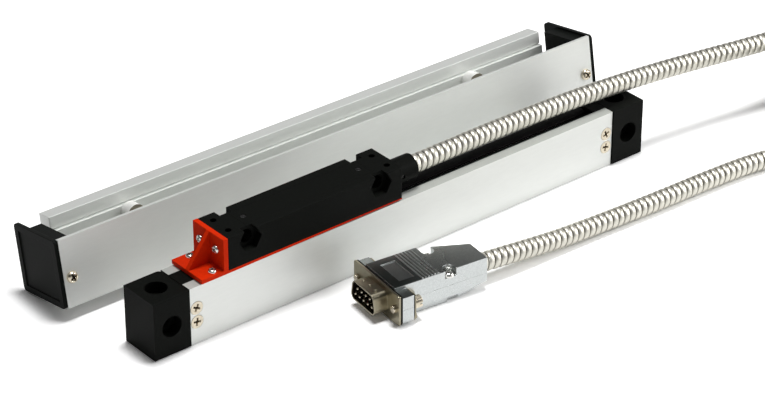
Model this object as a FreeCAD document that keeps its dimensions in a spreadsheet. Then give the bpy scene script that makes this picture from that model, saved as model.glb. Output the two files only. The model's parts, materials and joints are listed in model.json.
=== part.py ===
import FreeCAD, Part
import math
import os
import Sketcher
from FreeCAD import Placement, Rotation, Vector

# Linear glass scale: a slotted aluminium housing with a glass strip inside, a reading head
# that slides along it on a ball-bearing carriage, an armoured cable to a nine-pin plug, and
# the dust guard that stands beside it, taken off.
# Millimetres. X runs along the scale, Z is up, and the origin is the middle of the housing's
# base. The front, with the sunk screws, looks along -Y.

SIZES = (
    ("scale_length", 236.0),
    ("block_length", 15.8),
    ("block_width", 18.0),
    ("block_height", 23.6),
    ("block_edge", 0.5),
    ("block_corner", 2.0),
    ("plug_reach", 6.0),
    ("fit_gap", 0.1),
    ("bolt_bore", 4.5),
    ("counterbore", 8.3),
    ("counterbore_depth", 4.6),
    ("bolt_inset", 7.7),
    ("bolt_level", 11.8),
    ("gasket", 0.3),
    ("housing_width", 17.0),
    ("side_wall", 1.8),
    ("floor_wall", 2.2),
    ("lip_wall", 1.8),
    ("slot_width", 8.3),
    ("seal_grip", 0.9),
    ("seal_foot", 0.7),
    ("seal_gap", 0.9),
    ("seal_drop", 1.3),
    ("seal_tip", 0.4),
    ("glass_clear", 9.9),
    ("glass_thick", 2.0),
    ("glass_face", 0.7),
    ("glass_bed", 0.5),
    ("rib_tall", 2.0),
    ("rib_wall", 1.2),
    ("wall_screw_inset", 3.2),
    ("wall_screw_pitch", 5.8),
    ("wall_screw_level", 11.8),
    ("wall_screw_head", 5.6),
    ("wall_screw_shank", 2.9),
    ("wall_screw_long", 5.4),
    ("head_centre", -45.0),
    ("head_length", 80.0),
    ("head_width", 18.2),
    ("head_top", 38.3),
    ("strip_gap", 0.3),
    ("strip_thick", 1.2),
    ("strip_tip", 0.5),
    ("head_edge", 0.4),
    ("head_bolt_pitch", 60.0),
    ("head_bolt_bore", 5.5),
    ("head_bolt_drop", 4.0),
    ("nut_flats", 8.6),
    ("nut_depth", 3.0),
    ("back_slot_depth", 3.6),
    ("top_hole", 2.5),
    ("top_hole_deep", 4.0),
    ("top_hole_inset", 3.6),
    ("top_hole_pitch", 8.8),
    ("lid_screw_margin", 3.0),
    ("lid_width", 10.0),
    ("lid_thick", 1.0),
    ("lid_screw_pitch", 52.8),
    ("lid_screw_head", 2.2),
    ("lid_screw_shank", 1.5),
    ("cavity_margin", 1.9),
    ("cavity_width", 8.4),
    ("cavity_floor", 1.9),
    ("board_thick", 1.0),
    ("boss_radius", 5.0),
    ("boss_length", 11.4),
    ("boss_level", 30.6),
    ("boss_bore_deep", 6.0),
    ("spigot_radius", 3.4),
    ("spigot_long", 4.0),
    ("passage_radius", 1.8),
    ("passage_drop", 1.3),
    ("set_screw_radius", 0.8),
    ("set_screw_long", 2.6),
    ("hose_radius", 3.75),
    ("foot_length", 11.8),
    ("foot_thick", 1.7),
    ("upright_thick", 2.0),
    ("gusset_thick", 1.8),
    ("fork_slot", 1.8),
    ("foot_screw_inset", 6.3),
    ("foot_screw_pitch", 13.3),
    ("end_screw_pitch", 9.3),
    ("end_screw_drop", 5.6),
    ("pan_head", 3.3),
    ("pan_tall", 1.2),
    ("pan_shank", 2.2),
    ("pan_long", 4.0),
    ("arm_thick", 0.7),
    ("arm_length", 36.0),
    ("arm_foot_width", 4.0),
    ("arm_foot_thick", 0.6),
    ("carriage_length", 60.0),
    ("carriage_gap", 0.4),
    ("carriage_wall", 1.4),
    ("carriage_drop", 3.2),
    ("carriage_low", 4.6),
    ("leg_length", 20.0),
    ("bearing_radius", 2.5),
    ("bearing_wide", 2.0),
    ("bearing_touch", 0.04),
    ("pin_radius", 1.0),
    ("pin_play", 0.03),
    ("pin_head_radius", 1.5),
    ("pin_head_thick", 0.4),
    ("upper_roller_pitch", 44.0),
    ("upper_roller_level", 9.0),
    ("lower_roller_level", 5.2),
    ("edge_roller_pitch", 28.0),
    ("grating_length", 14.0),
    ("grating_tall", 5.0),
    ("grating_thick", 1.0),
    ("grating_gap", 0.3),
    ("sensor_level", 8.3),
    ("shell_width", 30.8),
    ("shell_height", 12.4),
    ("shell_sheet", 0.8),
    ("mouth_half_wide", 8.45),
    ("mouth_half_narrow", 7.0),
    ("mouth_half_tall", 4.15),
    ("mouth_deep", 5.8),
    ("mouth_wall", 0.5),
    ("mouth_corner", 2.2),
    ("dimple_radius", 0.6),
    ("dimple_tall", 0.5),
    ("dimple_round", 0.3),
    ("dimple_pitch", 4.0),
    ("insulator_flange", 0.8),
    ("insulator_long", 5.0),
    ("contact_radius", 0.5),
    ("contact_pitch", 2.77),
    ("contact_rows", 2.84),
    ("contact_tip", 5.7),
    ("contact_tail", 7.5),
    ("hood_half_wide", 9.9),
    ("hood_half_tall", 6.6),
    ("hood_length", 41.7),
    ("hood_wall", 1.4),
    ("hood_shoulder", 22.8),
    ("hood_rear_left", 1.6),
    ("ear_length", 4.8),
    ("ear_half_tall", 5.2),
    ("clip_gap", 0.4),
    ("clip_top", 0.5),
    ("clip_foot", 1.4),
    ("clip_toe", 0.9),
    ("clip_drop", 0.5),
    ("jack_pitch", 25.0),
    ("jack_radius", 1.4),
    ("jack_head", 2.4),
    ("jack_head_long", 3.2),
    ("jack_play", 0.08),
    ("recess_along", 25.7),
    ("recess_radius", 2.45),
    ("recess_level", 3.4),
    ("hood_screw_head", 2.1),
    ("hood_screw_long", 7.0),
    ("notch_start", 24.2),
    ("notch_end", 28.8),
    ("notch_tall", 1.7),
    ("notch_deep", 1.0),
    ("rib_count", 6),
    ("rib_start", 13.6),
    ("rib_pitch", 1.35),
    ("rib_width", 0.5),
    ("rib_rise", 0.35),
    ("label_start", 5.8),
    ("label_length", 6.2),
    ("label_half_wide", 6.4),
    ("label_deep", 0.5),
    ("plug_exit_side", -4.0),
    ("plug_exit_level", 1.0),
    ("plug_place_x", -35.5),
    ("plug_place_y", -31.2),
    ("plug_yaw", -7.2),
    ("ferrule_radius", 3.7),
    ("ferrule_bore", 2.4),
    ("ferrule_long", 2.2),
    ("hose_in_hood", 5.5),
    ("coil_x", 245.0),
    ("coil_y", -46.0),
    ("coil_inner", 26.2),
    ("coil_outer", 57.8),
    ("coil_tall", 22.6),
    ("guard_length", 257.3),
    ("guard_deep", 27.8),
    ("guard_tall", 26.9),
    ("guard_sheet", 1.5),
    ("guard_place_x", -127.27),
    ("guard_place_y", 60.43),
    ("guard_yaw", -0.906),
    ("guard_lean", 9.95),
    ("cap_flange", 1.7),
    ("cap_corner", 1.5),
    ("cap_border", 2.6),
    ("cap_sunk", 0.5),
    ("cap_block", 5.9),
    ("cap_block_drop", 0.9),
    ("cap_screw_level", 11.5),
    ("cap_screw_inset", 5.1),
    ("cap_screw_head", 4.6),
    ("cap_screw_tall", 1.7),
    ("rail_start", 11.1),
    ("rail_end_gap", 10.2),
    ("rail_bead", 6.8),
    ("rail_body", 8.2),
    ("rail_bead_tall", 4.8),
    ("rail_groove", 0.5),
    ("rail_bolt_level", 18.8),
    ("rail_bolt_first", 33.0),
    ("rail_bolt_pitch", 164.0),
    ("rail_bolt_head", 3.7),
    ("rail_bolt_tall", 5.2),
    ("rail_bolt_radius", 2.0),
    ("rail_bolt_play", 0.1),
    ("socket_radius", 1.7),
    ("socket_deep", 2.6),
)

doc = FreeCAD.newDocument("GlassScale")
nodes = []


class Size:
    # A length or an angle, as its number and as the sheet's formula for it.
    def __init__(self, number, formula=None):
        self.number = float(number)
        self.formula = formula or repr(float(number))

    def __add__(self, other):
        other = sized(other)
        return Size(self.number + other.number, f"({self.formula} + {other.formula})")

    def __sub__(self, other):
        other = sized(other)
        return Size(self.number - other.number, f"({self.formula} - {other.formula})")

    def __mul__(self, other):
        other = sized(other)
        return Size(self.number * other.number, f"({self.formula} * {other.formula})")

    def __truediv__(self, other):
        other = sized(other)
        return Size(self.number / other.number, f"({self.formula} / {other.formula})")

    def __neg__(self):
        return Size(-self.number, f"(0 - {self.formula})")

    def __radd__(self, other):
        return sized(other) + self

    def __rsub__(self, other):
        return sized(other) - self

    def __rmul__(self, other):
        return sized(other) * self


def sized(value):
    return value if isinstance(value, Size) else Size(value)


class Sheet:
    # The driving dimensions, one row each, read as sheet.name.
    def __init__(self, rows):
        cells = doc.addObject("Spreadsheet::Sheet", "Sizes")
        for row, (name, value) in enumerate(rows, 2):
            cells.set(f"A{row}", name)
            cells.set(f"B{row}", str(value))
            cells.setAlias(f"B{row}", name)
            setattr(self, name, Size(value, f"Sizes.{name}"))
        cells.set("A1", "Size")
        cells.set("B1", "Millimetres or degrees")


s = Sheet(SIZES)
doc.recompute()


# Places that several pieces share, worked out from the sheet.

half_scale = s.scale_length / 2
block_face = half_scale - s.block_length
housing_end = block_face - s.gasket
half_slot = s.slot_width / 2
cavity_half = s.housing_width / 2 - s.side_wall
lip_under = s.block_height - s.lip_wall
strip_low = s.block_height + s.strip_gap
head_bottom = strip_low + s.strip_thick
head_left = s.head_centre - s.head_length / 2
head_right = s.head_centre + s.head_length / 2
half_head = s.head_width / 2
head_bolt_level = s.head_top - s.head_bolt_drop
lid_seat = s.head_top - s.lid_thick
lid_length = s.lid_screw_pitch + 2 * s.lid_screw_margin
cavity_length = s.lid_screw_pitch - 2 * s.cavity_margin
glass_low = s.floor_wall + s.glass_bed
glass_high = s.block_height - s.glass_clear
glass_tall = glass_high - glass_low
glass_back = s.glass_face + s.glass_thick
roller_bore = s.pin_radius + s.pin_play
face_axis = s.glass_face - s.bearing_radius - s.bearing_touch
edge_axis = glass_high + s.bearing_radius + s.bearing_touch
carriage_top = s.block_height - s.carriage_drop
bridge_under = carriage_top - s.carriage_wall
front_outer = -cavity_half + s.carriage_gap
front_inner = front_outer + s.carriage_wall
hood_front = s.shell_sheet + s.insulator_flange
ear_back = hood_front + s.ear_length
half_shell = s.shell_width / 2
half_jack = s.jack_pitch / 2
hose_hole = s.hose_radius + s.fit_gap
boss_end = head_right + s.boss_length
hose_start = boss_end - s.boss_bore_deep

# The planes of a body: the sketch's normal, and whether it looks the way its world axis does.
PLANES = {"XY": ("XY_Plane", 1), "XZ": ("XZ_Plane", -1), "YZ": ("YZ_Plane", 1)}


def rectangle(low_u, low_v, high_u, high_v):
    return [(low_u, low_v), (high_u, low_v), (high_u, high_v), (low_u, high_v)]


def circle(u, v, radius):
    return ("circle", u, v, radius)


def fix_point(sketch, geometry, point, u, v):
    # Ties a sketch point to the origin by two bound distances, or to an axis where one is zero.
    for size, kind, axis in ((u, "DistanceX", -2), (v, "DistanceY", -1)):
        size = sized(size)
        if size.formula == repr(0.0):
            sketch.addConstraint(Sketcher.Constraint("PointOnObject", geometry, point, axis))
            continue
        number = sketch.addConstraint(
            Sketcher.Constraint(kind, -1, 1, geometry, point, size.number)
        )
        sketch.setExpression(f"Constraints[{number}]", size.formula)


def draw(sketch, profile):
    # One closed outline of a sketch: a circle, or straight sides through the given points.
    if profile[0] == "circle":
        kind, u, v, radius = profile
        u, v, radius = sized(u), sized(v), sized(radius)
        centre = Vector(u.number, v.number, 0)
        ring = sketch.addGeometry(Part.Circle(centre, Vector(0, 0, 1), radius.number))
        fix_point(sketch, ring, 3, u, v)
        number = sketch.addConstraint(Sketcher.Constraint("Radius", ring, radius.number))
        sketch.setExpression(f"Constraints[{number}]", radius.formula)
        return
    points = [(sized(u), sized(v)) for u, v in profile]
    corners = [Vector(u.number, v.number, 0) for u, v in points]
    sides = [
        sketch.addGeometry(Part.LineSegment(corner, corners[(i + 1) % len(corners)]))
        for i, corner in enumerate(corners)
    ]
    for i, side in enumerate(sides):
        following = sides[(i + 1) % len(sides)]
        sketch.addConstraint(Sketcher.Constraint("Coincident", side, 2, following, 1))
    for side, (u, v) in zip(sides, points):
        fix_point(sketch, side, 1, u, v)


def new_body(label):
    body = doc.addObject("PartDesign::Body", label)
    body.Label = label
    return body


def sketch_on(body, plane, offset, profiles):
    role, way = PLANES[plane]
    sketch = body.newObject("Sketcher::SketchObject", f"{body.Name}_sketch")
    base = next(part for part in body.Origin.OriginFeatures if part.Role == role)
    sketch.AttachmentSupport = [(base, "")]
    sketch.MapMode = "FlatFace"
    sketch.setExpression("AttachmentOffset.Base.z", sized(offset).formula)
    for profile in profiles:
        draw(sketch, profile)
    return sketch


def extrude(body, kind, plane, profiles, low, high):
    # Adds (Pad) or takes away (Pocket) the profiles between low and high along the normal.
    low, high = sized(low), sized(high)
    offset = low if PLANES[plane][1] > 0 else -high
    sketch = sketch_on(body, plane, offset, profiles)
    feature = body.newObject(f"PartDesign::{kind}", f"{body.Name}_{kind.lower()}")
    feature.Profile = sketch
    feature.setExpression("Length", (high - low).formula)
    feature.Reversed = kind == "Pocket"
    sketch.Visibility = False
    doc.recompute()
    if not body.Shape.isValid():
        raise RuntimeError(f"{feature.Label} spoils {body.Label}")
    return feature


def pad(body, plane, profiles, low, high):
    return extrude(body, "Pad", plane, profiles, low, high)


def pocket(body, plane, profiles, low, high):
    before = body.Shape.Volume
    feature = extrude(body, "Pocket", plane, profiles, low, high)
    if body.Shape.Volume >= before:
        raise RuntimeError(f"a pocket of {body.Label} cuts nothing")
    return feature


def round_edges(body, radius, chosen, kind="Fillet"):
    # Rounds the edges that chosen(edge) picks out of the body's last shape.
    tip = body.Tip
    picked = [f"Edge{i}" for i, edge in enumerate(tip.Shape.Edges, 1) if chosen(edge)]
    if not picked:
        raise RuntimeError(f"no edge of {body.Label} to round")
    feature = body.newObject(f"PartDesign::{kind}", f"{body.Name}_{kind.lower()}")
    feature.Base = (tip, picked)
    feature.setExpression("Radius" if kind == "Fillet" else "Size", sized(radius).formula)
    doc.recompute()
    return feature


def along(edge, axis):
    # Whether a straight edge runs along the axis.
    ends = edge.Vertexes
    if len(ends) != 2 or edge.Curve.TypeId != "Part::GeomLine":
        return False
    way = ends[1].Point.sub(ends[0].Point)
    return way.Length > 1e-6 and abs(abs(way.dot(axis)) / way.Length - 1) < 1e-6


def node(thing, place=None):
    # Lists a finished object as a sub-part, in its place.
    if place is not None:
        thing.Placement = place
    nodes.append(thing)
    return thing


def group(label, shapes):
    # Several separate solids of one node, such as a set of like fasteners.
    feature = doc.addObject("Part::Feature", label)
    feature.Label = label
    feature.Shape = Part.makeCompound(shapes)
    return feature


def plug_place():
    turn = Rotation(Vector(0, 0, 1), s.plug_yaw.number)
    return Placement(
        Vector(s.plug_place_x.number, s.plug_place_y.number, s.hood_half_tall.number), turn
    )


def guard_place():
    turn = Rotation(Vector(0, 0, 1), s.guard_yaw.number)
    lean = Rotation(Vector(1, 0, 0), -s.guard_lean.number)
    return Placement(
        Vector(s.guard_place_x.number, s.guard_place_y.number, 0), turn.multiply(lean)
    )


def turned(shape, at, way):
    # A shape made on the Z axis, moved to a point and turned to look along a direction.
    copy = shape.copy()
    copy.Placement = Placement(Vector(*at), Rotation(Vector(0, 0, 1), Vector(*way)))
    return copy


def cross_recess(reach, width, top, deep):
    arm = Part.makeBox(2 * reach, width, deep, Vector(-reach, -width / 2, top - deep))
    other = Part.makeBox(width, 2 * reach, deep, Vector(-width / 2, -reach, top - deep))
    return arm.fuse(other)


def pan_screw(head_radius, head_tall, shank_radius, shank_long):
    # A domed cross-head screw on the Z axis, its head above z = 0 and its shank below.
    sphere_radius = (head_radius**2 + (1.15 * head_tall) ** 2) / (2 * 1.15 * head_tall)
    dome = Part.makeSphere(sphere_radius, Vector(0, 0, 1.15 * head_tall - sphere_radius))
    head = Part.makeCylinder(0.97 * head_radius, head_tall).common(dome)
    shank = Part.makeCylinder(shank_radius, shank_long, Vector(0, 0, -shank_long))
    recess = cross_recess(0.52 * head_radius, 0.22 * head_radius, head_tall, 0.6 * head_tall)
    return head.fuse(shank).cut(recess).removeSplitter()


def sunk_screw(head_radius, shank_radius, long):
    # A countersunk cross-head screw, its flat top at z = 0.
    tall = head_radius - shank_radius
    cone = Part.makeCone(shank_radius, head_radius, tall, Vector(0, 0, -tall))
    shank = Part.makeCylinder(shank_radius, long, Vector(0, 0, -long))
    recess = cross_recess(0.5 * head_radius, 0.2 * head_radius, 0, 0.7 * tall)
    return cone.fuse(shank).cut(recess).removeSplitter()


def socket_screw(head_radius, head_tall, shank_radius, shank_long):
    # A cap screw with a hexagon socket, its head above z = 0.
    head = Part.makeCylinder(head_radius, head_tall)
    shank = Part.makeCylinder(shank_radius, shank_long, Vector(0, 0, -shank_long))
    corners = [
        Vector(
            s.socket_radius.number * math.cos(math.radians(60 * k)),
            s.socket_radius.number * math.sin(math.radians(60 * k)),
            head_tall,
        )
        for k in range(7)
    ]
    deep = Vector(0, 0, -s.socket_deep.number)
    socket = Part.Face(Part.makePolygon(corners)).extrude(deep)
    return head.fuse(shank).cut(socket).removeSplitter()


def make_housing():
    body = new_body("scale_housing")
    half = s.housing_width / 2
    top = s.block_height
    rib_top = s.floor_wall + s.rib_tall
    groove_front = s.glass_face - s.fit_gap
    groove_back = glass_back + s.fit_gap
    grip_low = lip_under + (s.lip_wall - s.seal_foot) / 2
    grip_high = grip_low + s.seal_foot
    outline = [
        (-half, 0),
        (half, 0),
        (half, top),
        (half_slot, top),
        (half_slot, grip_high),
        (half_slot + s.seal_grip, grip_high),
        (half_slot + s.seal_grip, grip_low),
        (half_slot, grip_low),
        (half_slot, lip_under),
        (cavity_half, lip_under),
        (cavity_half, s.floor_wall),
        (groove_back + s.rib_wall, s.floor_wall),
        (groove_back + s.rib_wall, rib_top),
        (groove_back, rib_top),
        (groove_back, s.floor_wall),
        (groove_front, s.floor_wall),
        (groove_front, rib_top),
        (groove_front - s.rib_wall, rib_top),
        (groove_front - s.rib_wall, s.floor_wall),
        (-cavity_half, s.floor_wall),
        (-cavity_half, lip_under),
        (-half_slot, lip_under),
        (-half_slot, grip_low),
        (-half_slot - s.seal_grip, grip_low),
        (-half_slot - s.seal_grip, grip_high),
        (-half_slot, grip_high),
        (-half_slot, top),
        (-half, top),
    ]
    pad(body, "YZ", [outline], -housing_end, housing_end)
    screw_x = block_face - s.wall_screw_inset
    holes = [
        circle(side * screw_x, level, s.wall_screw_shank / 2 + s.fit_gap)
        for side in (-1, 1)
        for level in screw_levels()
    ]
    pocket(body, "XZ", holes, -half - 1, half + 1)
    sinks = [sink_cone(x, y, z, way) for x, y, z, way in wall_screw_places()]
    return sunk_copy(body, sinks)


def screw_levels():
    return [s.wall_screw_level + way * s.wall_screw_pitch / 2 for way in (-1, 1)]


def wall_screw_places():
    # The sunk screws through both long walls into the end plugs: the place and outward way.
    half = (s.housing_width / 2).number
    x = (block_face - s.wall_screw_inset).number
    return [
        (side * x, face * half, level.number, face)
        for side in (-1, 1)
        for face in (-1, 1)
        for level in screw_levels()
    ]


def sink_cone(x, y, z, way):
    # The countersink that a sunk screw's head lies in.
    wide = s.wall_screw_head.number / 2 + s.fit_gap.number / 2
    narrow = s.wall_screw_shank.number / 2 + s.fit_gap.number / 2
    cone = Part.makeCone(wide, narrow, wide - narrow)
    return turned(cone, (x, y, z), (0, -way, 0))


def sunk_copy(body, sinks):
    # The body with its countersinks cut, as one boolean feature of its own.
    tools = group(f"{body.Label}_sinks", sinks)
    body.Label = f"{body.Label}_blank"
    result = doc.addObject("Part::Cut", "scale_housing_cut")
    result.Base = body
    result.Tool = tools
    result.Label = "scale_housing"
    doc.recompute()
    return result


def make_end_block(label, side):
    # The mounting block, with the plug that closes the housing's end. Side is -1 or 1.
    body = new_body(label)
    outer = side * half_scale
    inner = side * block_face
    half = s.block_width / 2
    low, high = (outer, inner) if side < 0 else (inner, outer)
    pad(body, "YZ", [rectangle(-half, 0, half, s.block_height)], low, high)
    x_axis, z_axis = Vector(1, 0, 0), Vector(0, 0, 1)
    inner_x = inner.number
    back_y = half.number

    def back_corner(edge):
        point = edge.CenterOfMass
        return along(edge, z_axis) and abs(point.x - inner_x) < 0.01 and point.y > back_y - 0.01

    def long_edge(edge):
        return along(edge, x_axis)

    round_edges(body, s.block_corner, back_corner)
    round_edges(body, s.block_edge, long_edge)
    gap = s.fit_gap
    rib_clear = s.floor_wall + s.rib_tall + gap
    plug = [
        (-cavity_half + gap, rib_clear),
        (cavity_half - gap, rib_clear),
        (cavity_half - gap, lip_under - gap),
        (half_slot - gap, lip_under - gap),
        (half_slot - gap, s.block_height),
        (-half_slot + gap, s.block_height),
        (-half_slot + gap, lip_under - gap),
        (-cavity_half + gap, lip_under - gap),
    ]
    reach = side * (block_face - s.plug_reach)
    near, far = (inner, reach) if side < 0 else (reach, inner)
    pad(body, "YZ", [plug], near, far)
    bolt_x = side * (half_scale - s.bolt_inset)
    bore = circle(bolt_x, s.bolt_level, s.bolt_bore / 2)
    wide = circle(bolt_x, s.bolt_level, s.counterbore / 2)
    pocket(body, "XZ", [bore], -half - 1, half + 1)
    pocket(body, "XZ", [wide], -half - 1, -half + s.counterbore_depth)
    bore = circle(bolt_x, 0, s.bolt_bore / 2)
    wide = circle(bolt_x, 0, s.counterbore / 2)
    top = s.block_height
    pocket(body, "XY", [bore], -1, top + 1)
    pocket(body, "XY", [wide], top - s.counterbore_depth, top + 1)
    screw_x = side * (block_face - s.wall_screw_inset)
    tapped = [
        circle(screw_x, level, s.wall_screw_shank / 2 + gap / 2) for level in screw_levels()
    ]
    deep = s.housing_width / 2 - s.wall_screw_long - gap
    pocket(body, "XZ", tapped, -half, -deep)
    pocket(body, "XZ", tapped, deep, half)
    return body


def make_gasket(label, side):
    # The thin sheet of rubber between a block and the housing, cut out for the plug.
    body = new_body(label)
    half = s.housing_width / 2
    inner, outer = side * housing_end, side * block_face
    low, high = (outer, inner) if side < 0 else (inner, outer)
    outline = [
        (-half, 0),
        (half, 0),
        (half, s.block_height),
        (half_slot, s.block_height),
        (half_slot, lip_under),
        (cavity_half, lip_under),
        (cavity_half, s.floor_wall),
        (-cavity_half, s.floor_wall),
        (-cavity_half, lip_under),
        (-half_slot, lip_under),
        (-half_slot, s.block_height),
        (-half, s.block_height),
    ]
    pad(body, "YZ", [outline], low, high)
    return body


def make_wall_screws():
    screw = sunk_screw(
        s.wall_screw_head.number / 2, s.wall_screw_shank.number / 2, s.wall_screw_long.number
    )
    placed = [turned(screw, (x, y, z), (0, way, 0)) for x, y, z, way in wall_screw_places()]
    return group("wall_screws", placed)


def make_lip_seal(label, side):
    # A rubber lip held in the slot's groove, slanting down to the middle of the slot.
    body = new_body(label)
    play = s.fit_gap / 2
    grip_low = lip_under + (s.lip_wall - s.seal_foot) / 2 + play
    grip_high = grip_low + s.seal_foot - 2 * play
    foot = half_slot + s.seal_grip - play
    root = half_slot - play
    tip = s.seal_gap / 2
    outline = [
        (side * foot, grip_low),
        (side * foot, grip_high),
        (side * root, grip_high),
        (side * tip, grip_high - s.seal_drop),
        (side * tip, grip_high - s.seal_drop - s.seal_tip),
        (side * root, grip_low),
    ]
    reach = block_face - s.plug_reach - s.fit_gap
    pad(body, "YZ", [outline], -reach, reach)
    return body


def make_glass():
    body = new_body("glass_scale")
    outline = rectangle(s.glass_face, glass_low, glass_back, glass_high)
    reach = block_face - s.plug_reach - s.fit_gap
    pad(body, "YZ", [outline], -reach, reach)
    return body


def make_glass_bed():
    body = new_body("glass_bed")
    outline = rectangle(s.glass_face, s.floor_wall, glass_back, glass_low)
    reach = block_face - s.plug_reach - s.fit_gap
    pad(body, "YZ", [outline], -reach, reach)
    return body


def make_head():
    # The reading head's casting: nut pockets and bolt holes across it, a board cavity from
    # the top, and slots that open the bolt holes at the back.
    body = new_body("reader_head")
    outline = rectangle(-half_head, head_bottom, half_head, s.head_top)
    pad(body, "YZ", [outline], head_left, head_right)
    x_axis, z_axis = Vector(1, 0, 0), Vector(0, 0, 1)

    def outer_edge(edge):
        top_edge = along(edge, x_axis) and edge.CenterOfMass.z > s.head_top.number - 0.01
        return top_edge or along(edge, z_axis)

    round_edges(body, s.head_edge, outer_edge)
    bolts = [s.head_centre + way * s.head_bolt_pitch / 2 for way in (-1, 1)]
    bores = [circle(x, head_bolt_level, s.head_bolt_bore / 2) for x in bolts]
    pocket(body, "XZ", bores, -half_head - 1, half_head + 1)
    half_flat = s.nut_flats / 2
    corner = s.nut_flats / math.sqrt(3)
    over = s.head_top + 1
    for x in bolts:
        pocket_outline = [
            (x - corner, head_bolt_level),
            (x - corner / 2, head_bolt_level - half_flat),
            (x + corner / 2, head_bolt_level - half_flat),
            (x + corner, head_bolt_level),
            (x + corner / 2, head_bolt_level + half_flat),
            (x + corner / 2, over),
            (x - corner / 2, over),
            (x - corner / 2, head_bolt_level + half_flat),
        ]
        pocket(body, "XZ", [pocket_outline], -half_head - 1, -half_head + s.nut_depth)
        slot = rectangle(
            x - s.head_bolt_bore / 2, head_bolt_level, x + s.head_bolt_bore / 2, over
        )
        pocket(body, "XZ", [slot], half_head - s.back_slot_depth, half_head + 1)
    tapped = [
        circle(x, way * s.top_hole_pitch / 2, s.top_hole / 2)
        for x in (head_left + s.top_hole_inset, head_right - s.top_hole_inset)
        for way in (-1, 1)
    ]
    pocket(body, "XY", tapped, s.head_top - s.top_hole_deep, s.head_top + 1)
    half_lid = lid_length / 2 + s.fit_gap / 2
    half_across = s.lid_width / 2 + s.fit_gap / 2
    seat = rectangle(
        s.head_centre - half_lid, -half_across, s.head_centre + half_lid, half_across
    )
    pocket(body, "XY", [seat], lid_seat, s.head_top + 1)
    cavity = rectangle(
        s.head_centre - cavity_length / 2,
        -s.cavity_width / 2,
        s.head_centre + cavity_length / 2,
        s.cavity_width / 2,
    )
    pocket(body, "XY", [cavity], head_bottom + s.cavity_floor, lid_seat)
    ends = [
        circle(way * s.end_screw_pitch / 2, s.head_top - s.end_screw_drop, s.pan_shank / 2)
        for way in (-1, 1)
    ]
    pocket(body, "YZ", ends, head_left - 1, head_left + s.pan_long - s.upright_thick)
    lid_screws = [
        circle(s.head_centre + way * s.lid_screw_pitch / 2, 0, s.lid_screw_shank / 2)
        for way in (-1, 1)
    ]
    pocket(body, "XY", lid_screws, lid_seat - 1.2, lid_seat + 0.5)
    spigot = circle(0, s.boss_level, s.spigot_radius + s.fit_gap / 2)
    pocket(body, "YZ", [spigot], head_right - s.spigot_long - s.fit_gap, head_right + 1)
    passage = circle(0, s.boss_level - s.passage_drop, s.passage_radius)
    cavity_end = s.head_centre + cavity_length / 2
    pocket(body, "YZ", [passage], cavity_end - 0.5, head_right)
    return body


def make_head_lid():
    body = new_body("head_lid")
    half_along, half_across = lid_length / 2, s.lid_width / 2
    outline = rectangle(
        s.head_centre - half_along, -half_across, s.head_centre + half_along, half_across
    )
    pad(body, "XY", [outline], lid_seat, s.head_top)
    holes, sinks = (
        [
            circle(s.head_centre + way * s.lid_screw_pitch / 2, 0, radius + s.fit_gap / 2)
            for way in (-1, 1)
        ]
        for radius in (s.lid_screw_shank / 2, s.lid_screw_head / 2)
    )
    pocket(body, "XY", holes, lid_seat - 1, s.head_top + 1)
    pocket(body, "XY", sinks, lid_seat + s.lid_thick / 2, s.head_top + 1)
    return body


def make_lid_screws():
    tall = s.lid_thick.number / 2 - 0.05
    seat = s.head_top.number - s.lid_thick.number / 2
    head = Part.makeCylinder(s.lid_screw_head.number / 2, tall)
    deep = s.lid_thick.number / 2 + 1.1
    shank = Part.makeCylinder(s.lid_screw_shank.number / 2, deep, Vector(0, 0, -deep))
    slot = Part.makeBox(3, 0.4, 0.3, Vector(-1.5, -0.2, tall - 0.3))
    screw = head.fuse(shank).cut(slot).removeSplitter()
    reach = s.lid_screw_pitch.number / 2
    places = [s.head_centre.number + way * reach for way in (-1, 1)]
    return group("lid_screws", [turned(screw, (x, 0, seat), (0, 0, 1)) for x in places])


def make_head_board():
    body = new_body("head_board")
    gap = 2 * s.fit_gap
    low = head_bottom + s.cavity_floor
    half_along = cavity_length / 2 - gap
    half_across = s.cavity_width / 2 - gap
    outline = rectangle(
        s.head_centre - half_along, -half_across, s.head_centre + half_along, half_across
    )
    pad(body, "XY", [outline], low, low + s.board_thick)
    for start, long, tall in ((-18, 9, 1.6), (-5, 12, 2.2), (11, 6, 1.2)):
        chip = rectangle(
            s.head_centre + start, -half_across + 1.4, s.head_centre + start + long, 1.8
        )
        pad(body, "XY", [chip], low + s.board_thick, low + s.board_thick + tall)
    return body


def make_cable_boss():
    body = new_body("cable_boss")
    pad(body, "YZ", [circle(0, s.boss_level, s.boss_radius)], head_right, boss_end)
    spigot = circle(0, s.boss_level, s.spigot_radius)
    pad(body, "YZ", [spigot], head_right - s.spigot_long, head_right)
    pocket(body, "YZ", [circle(0, s.boss_level, hose_hole)], hose_start, boss_end + 1)
    passage = circle(0, s.boss_level - s.passage_drop, s.passage_radius)
    pocket(body, "YZ", [passage], head_right - s.spigot_long - 1, hose_start)
    grub = circle(head_right + 4, s.boss_level, s.set_screw_radius + s.fit_gap / 2)
    pocket(body, "XZ", [grub], -s.boss_radius - 1, -s.boss_radius + s.set_screw_long)
    return body


def make_boss_set_screw():
    radius, long = s.set_screw_radius.number, s.set_screw_long.number
    screw = Part.makeCylinder(radius, long - 0.4)
    slot = Part.makeBox(2 * radius, 0.4, 0.5, Vector(-radius, -0.2, long - 0.9))
    start = (head_right.number + 4, -s.boss_radius.number + long, s.boss_level.number)
    return group("boss_set_screw", [turned(screw.cut(slot), start, (0, -1, 0))])


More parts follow.
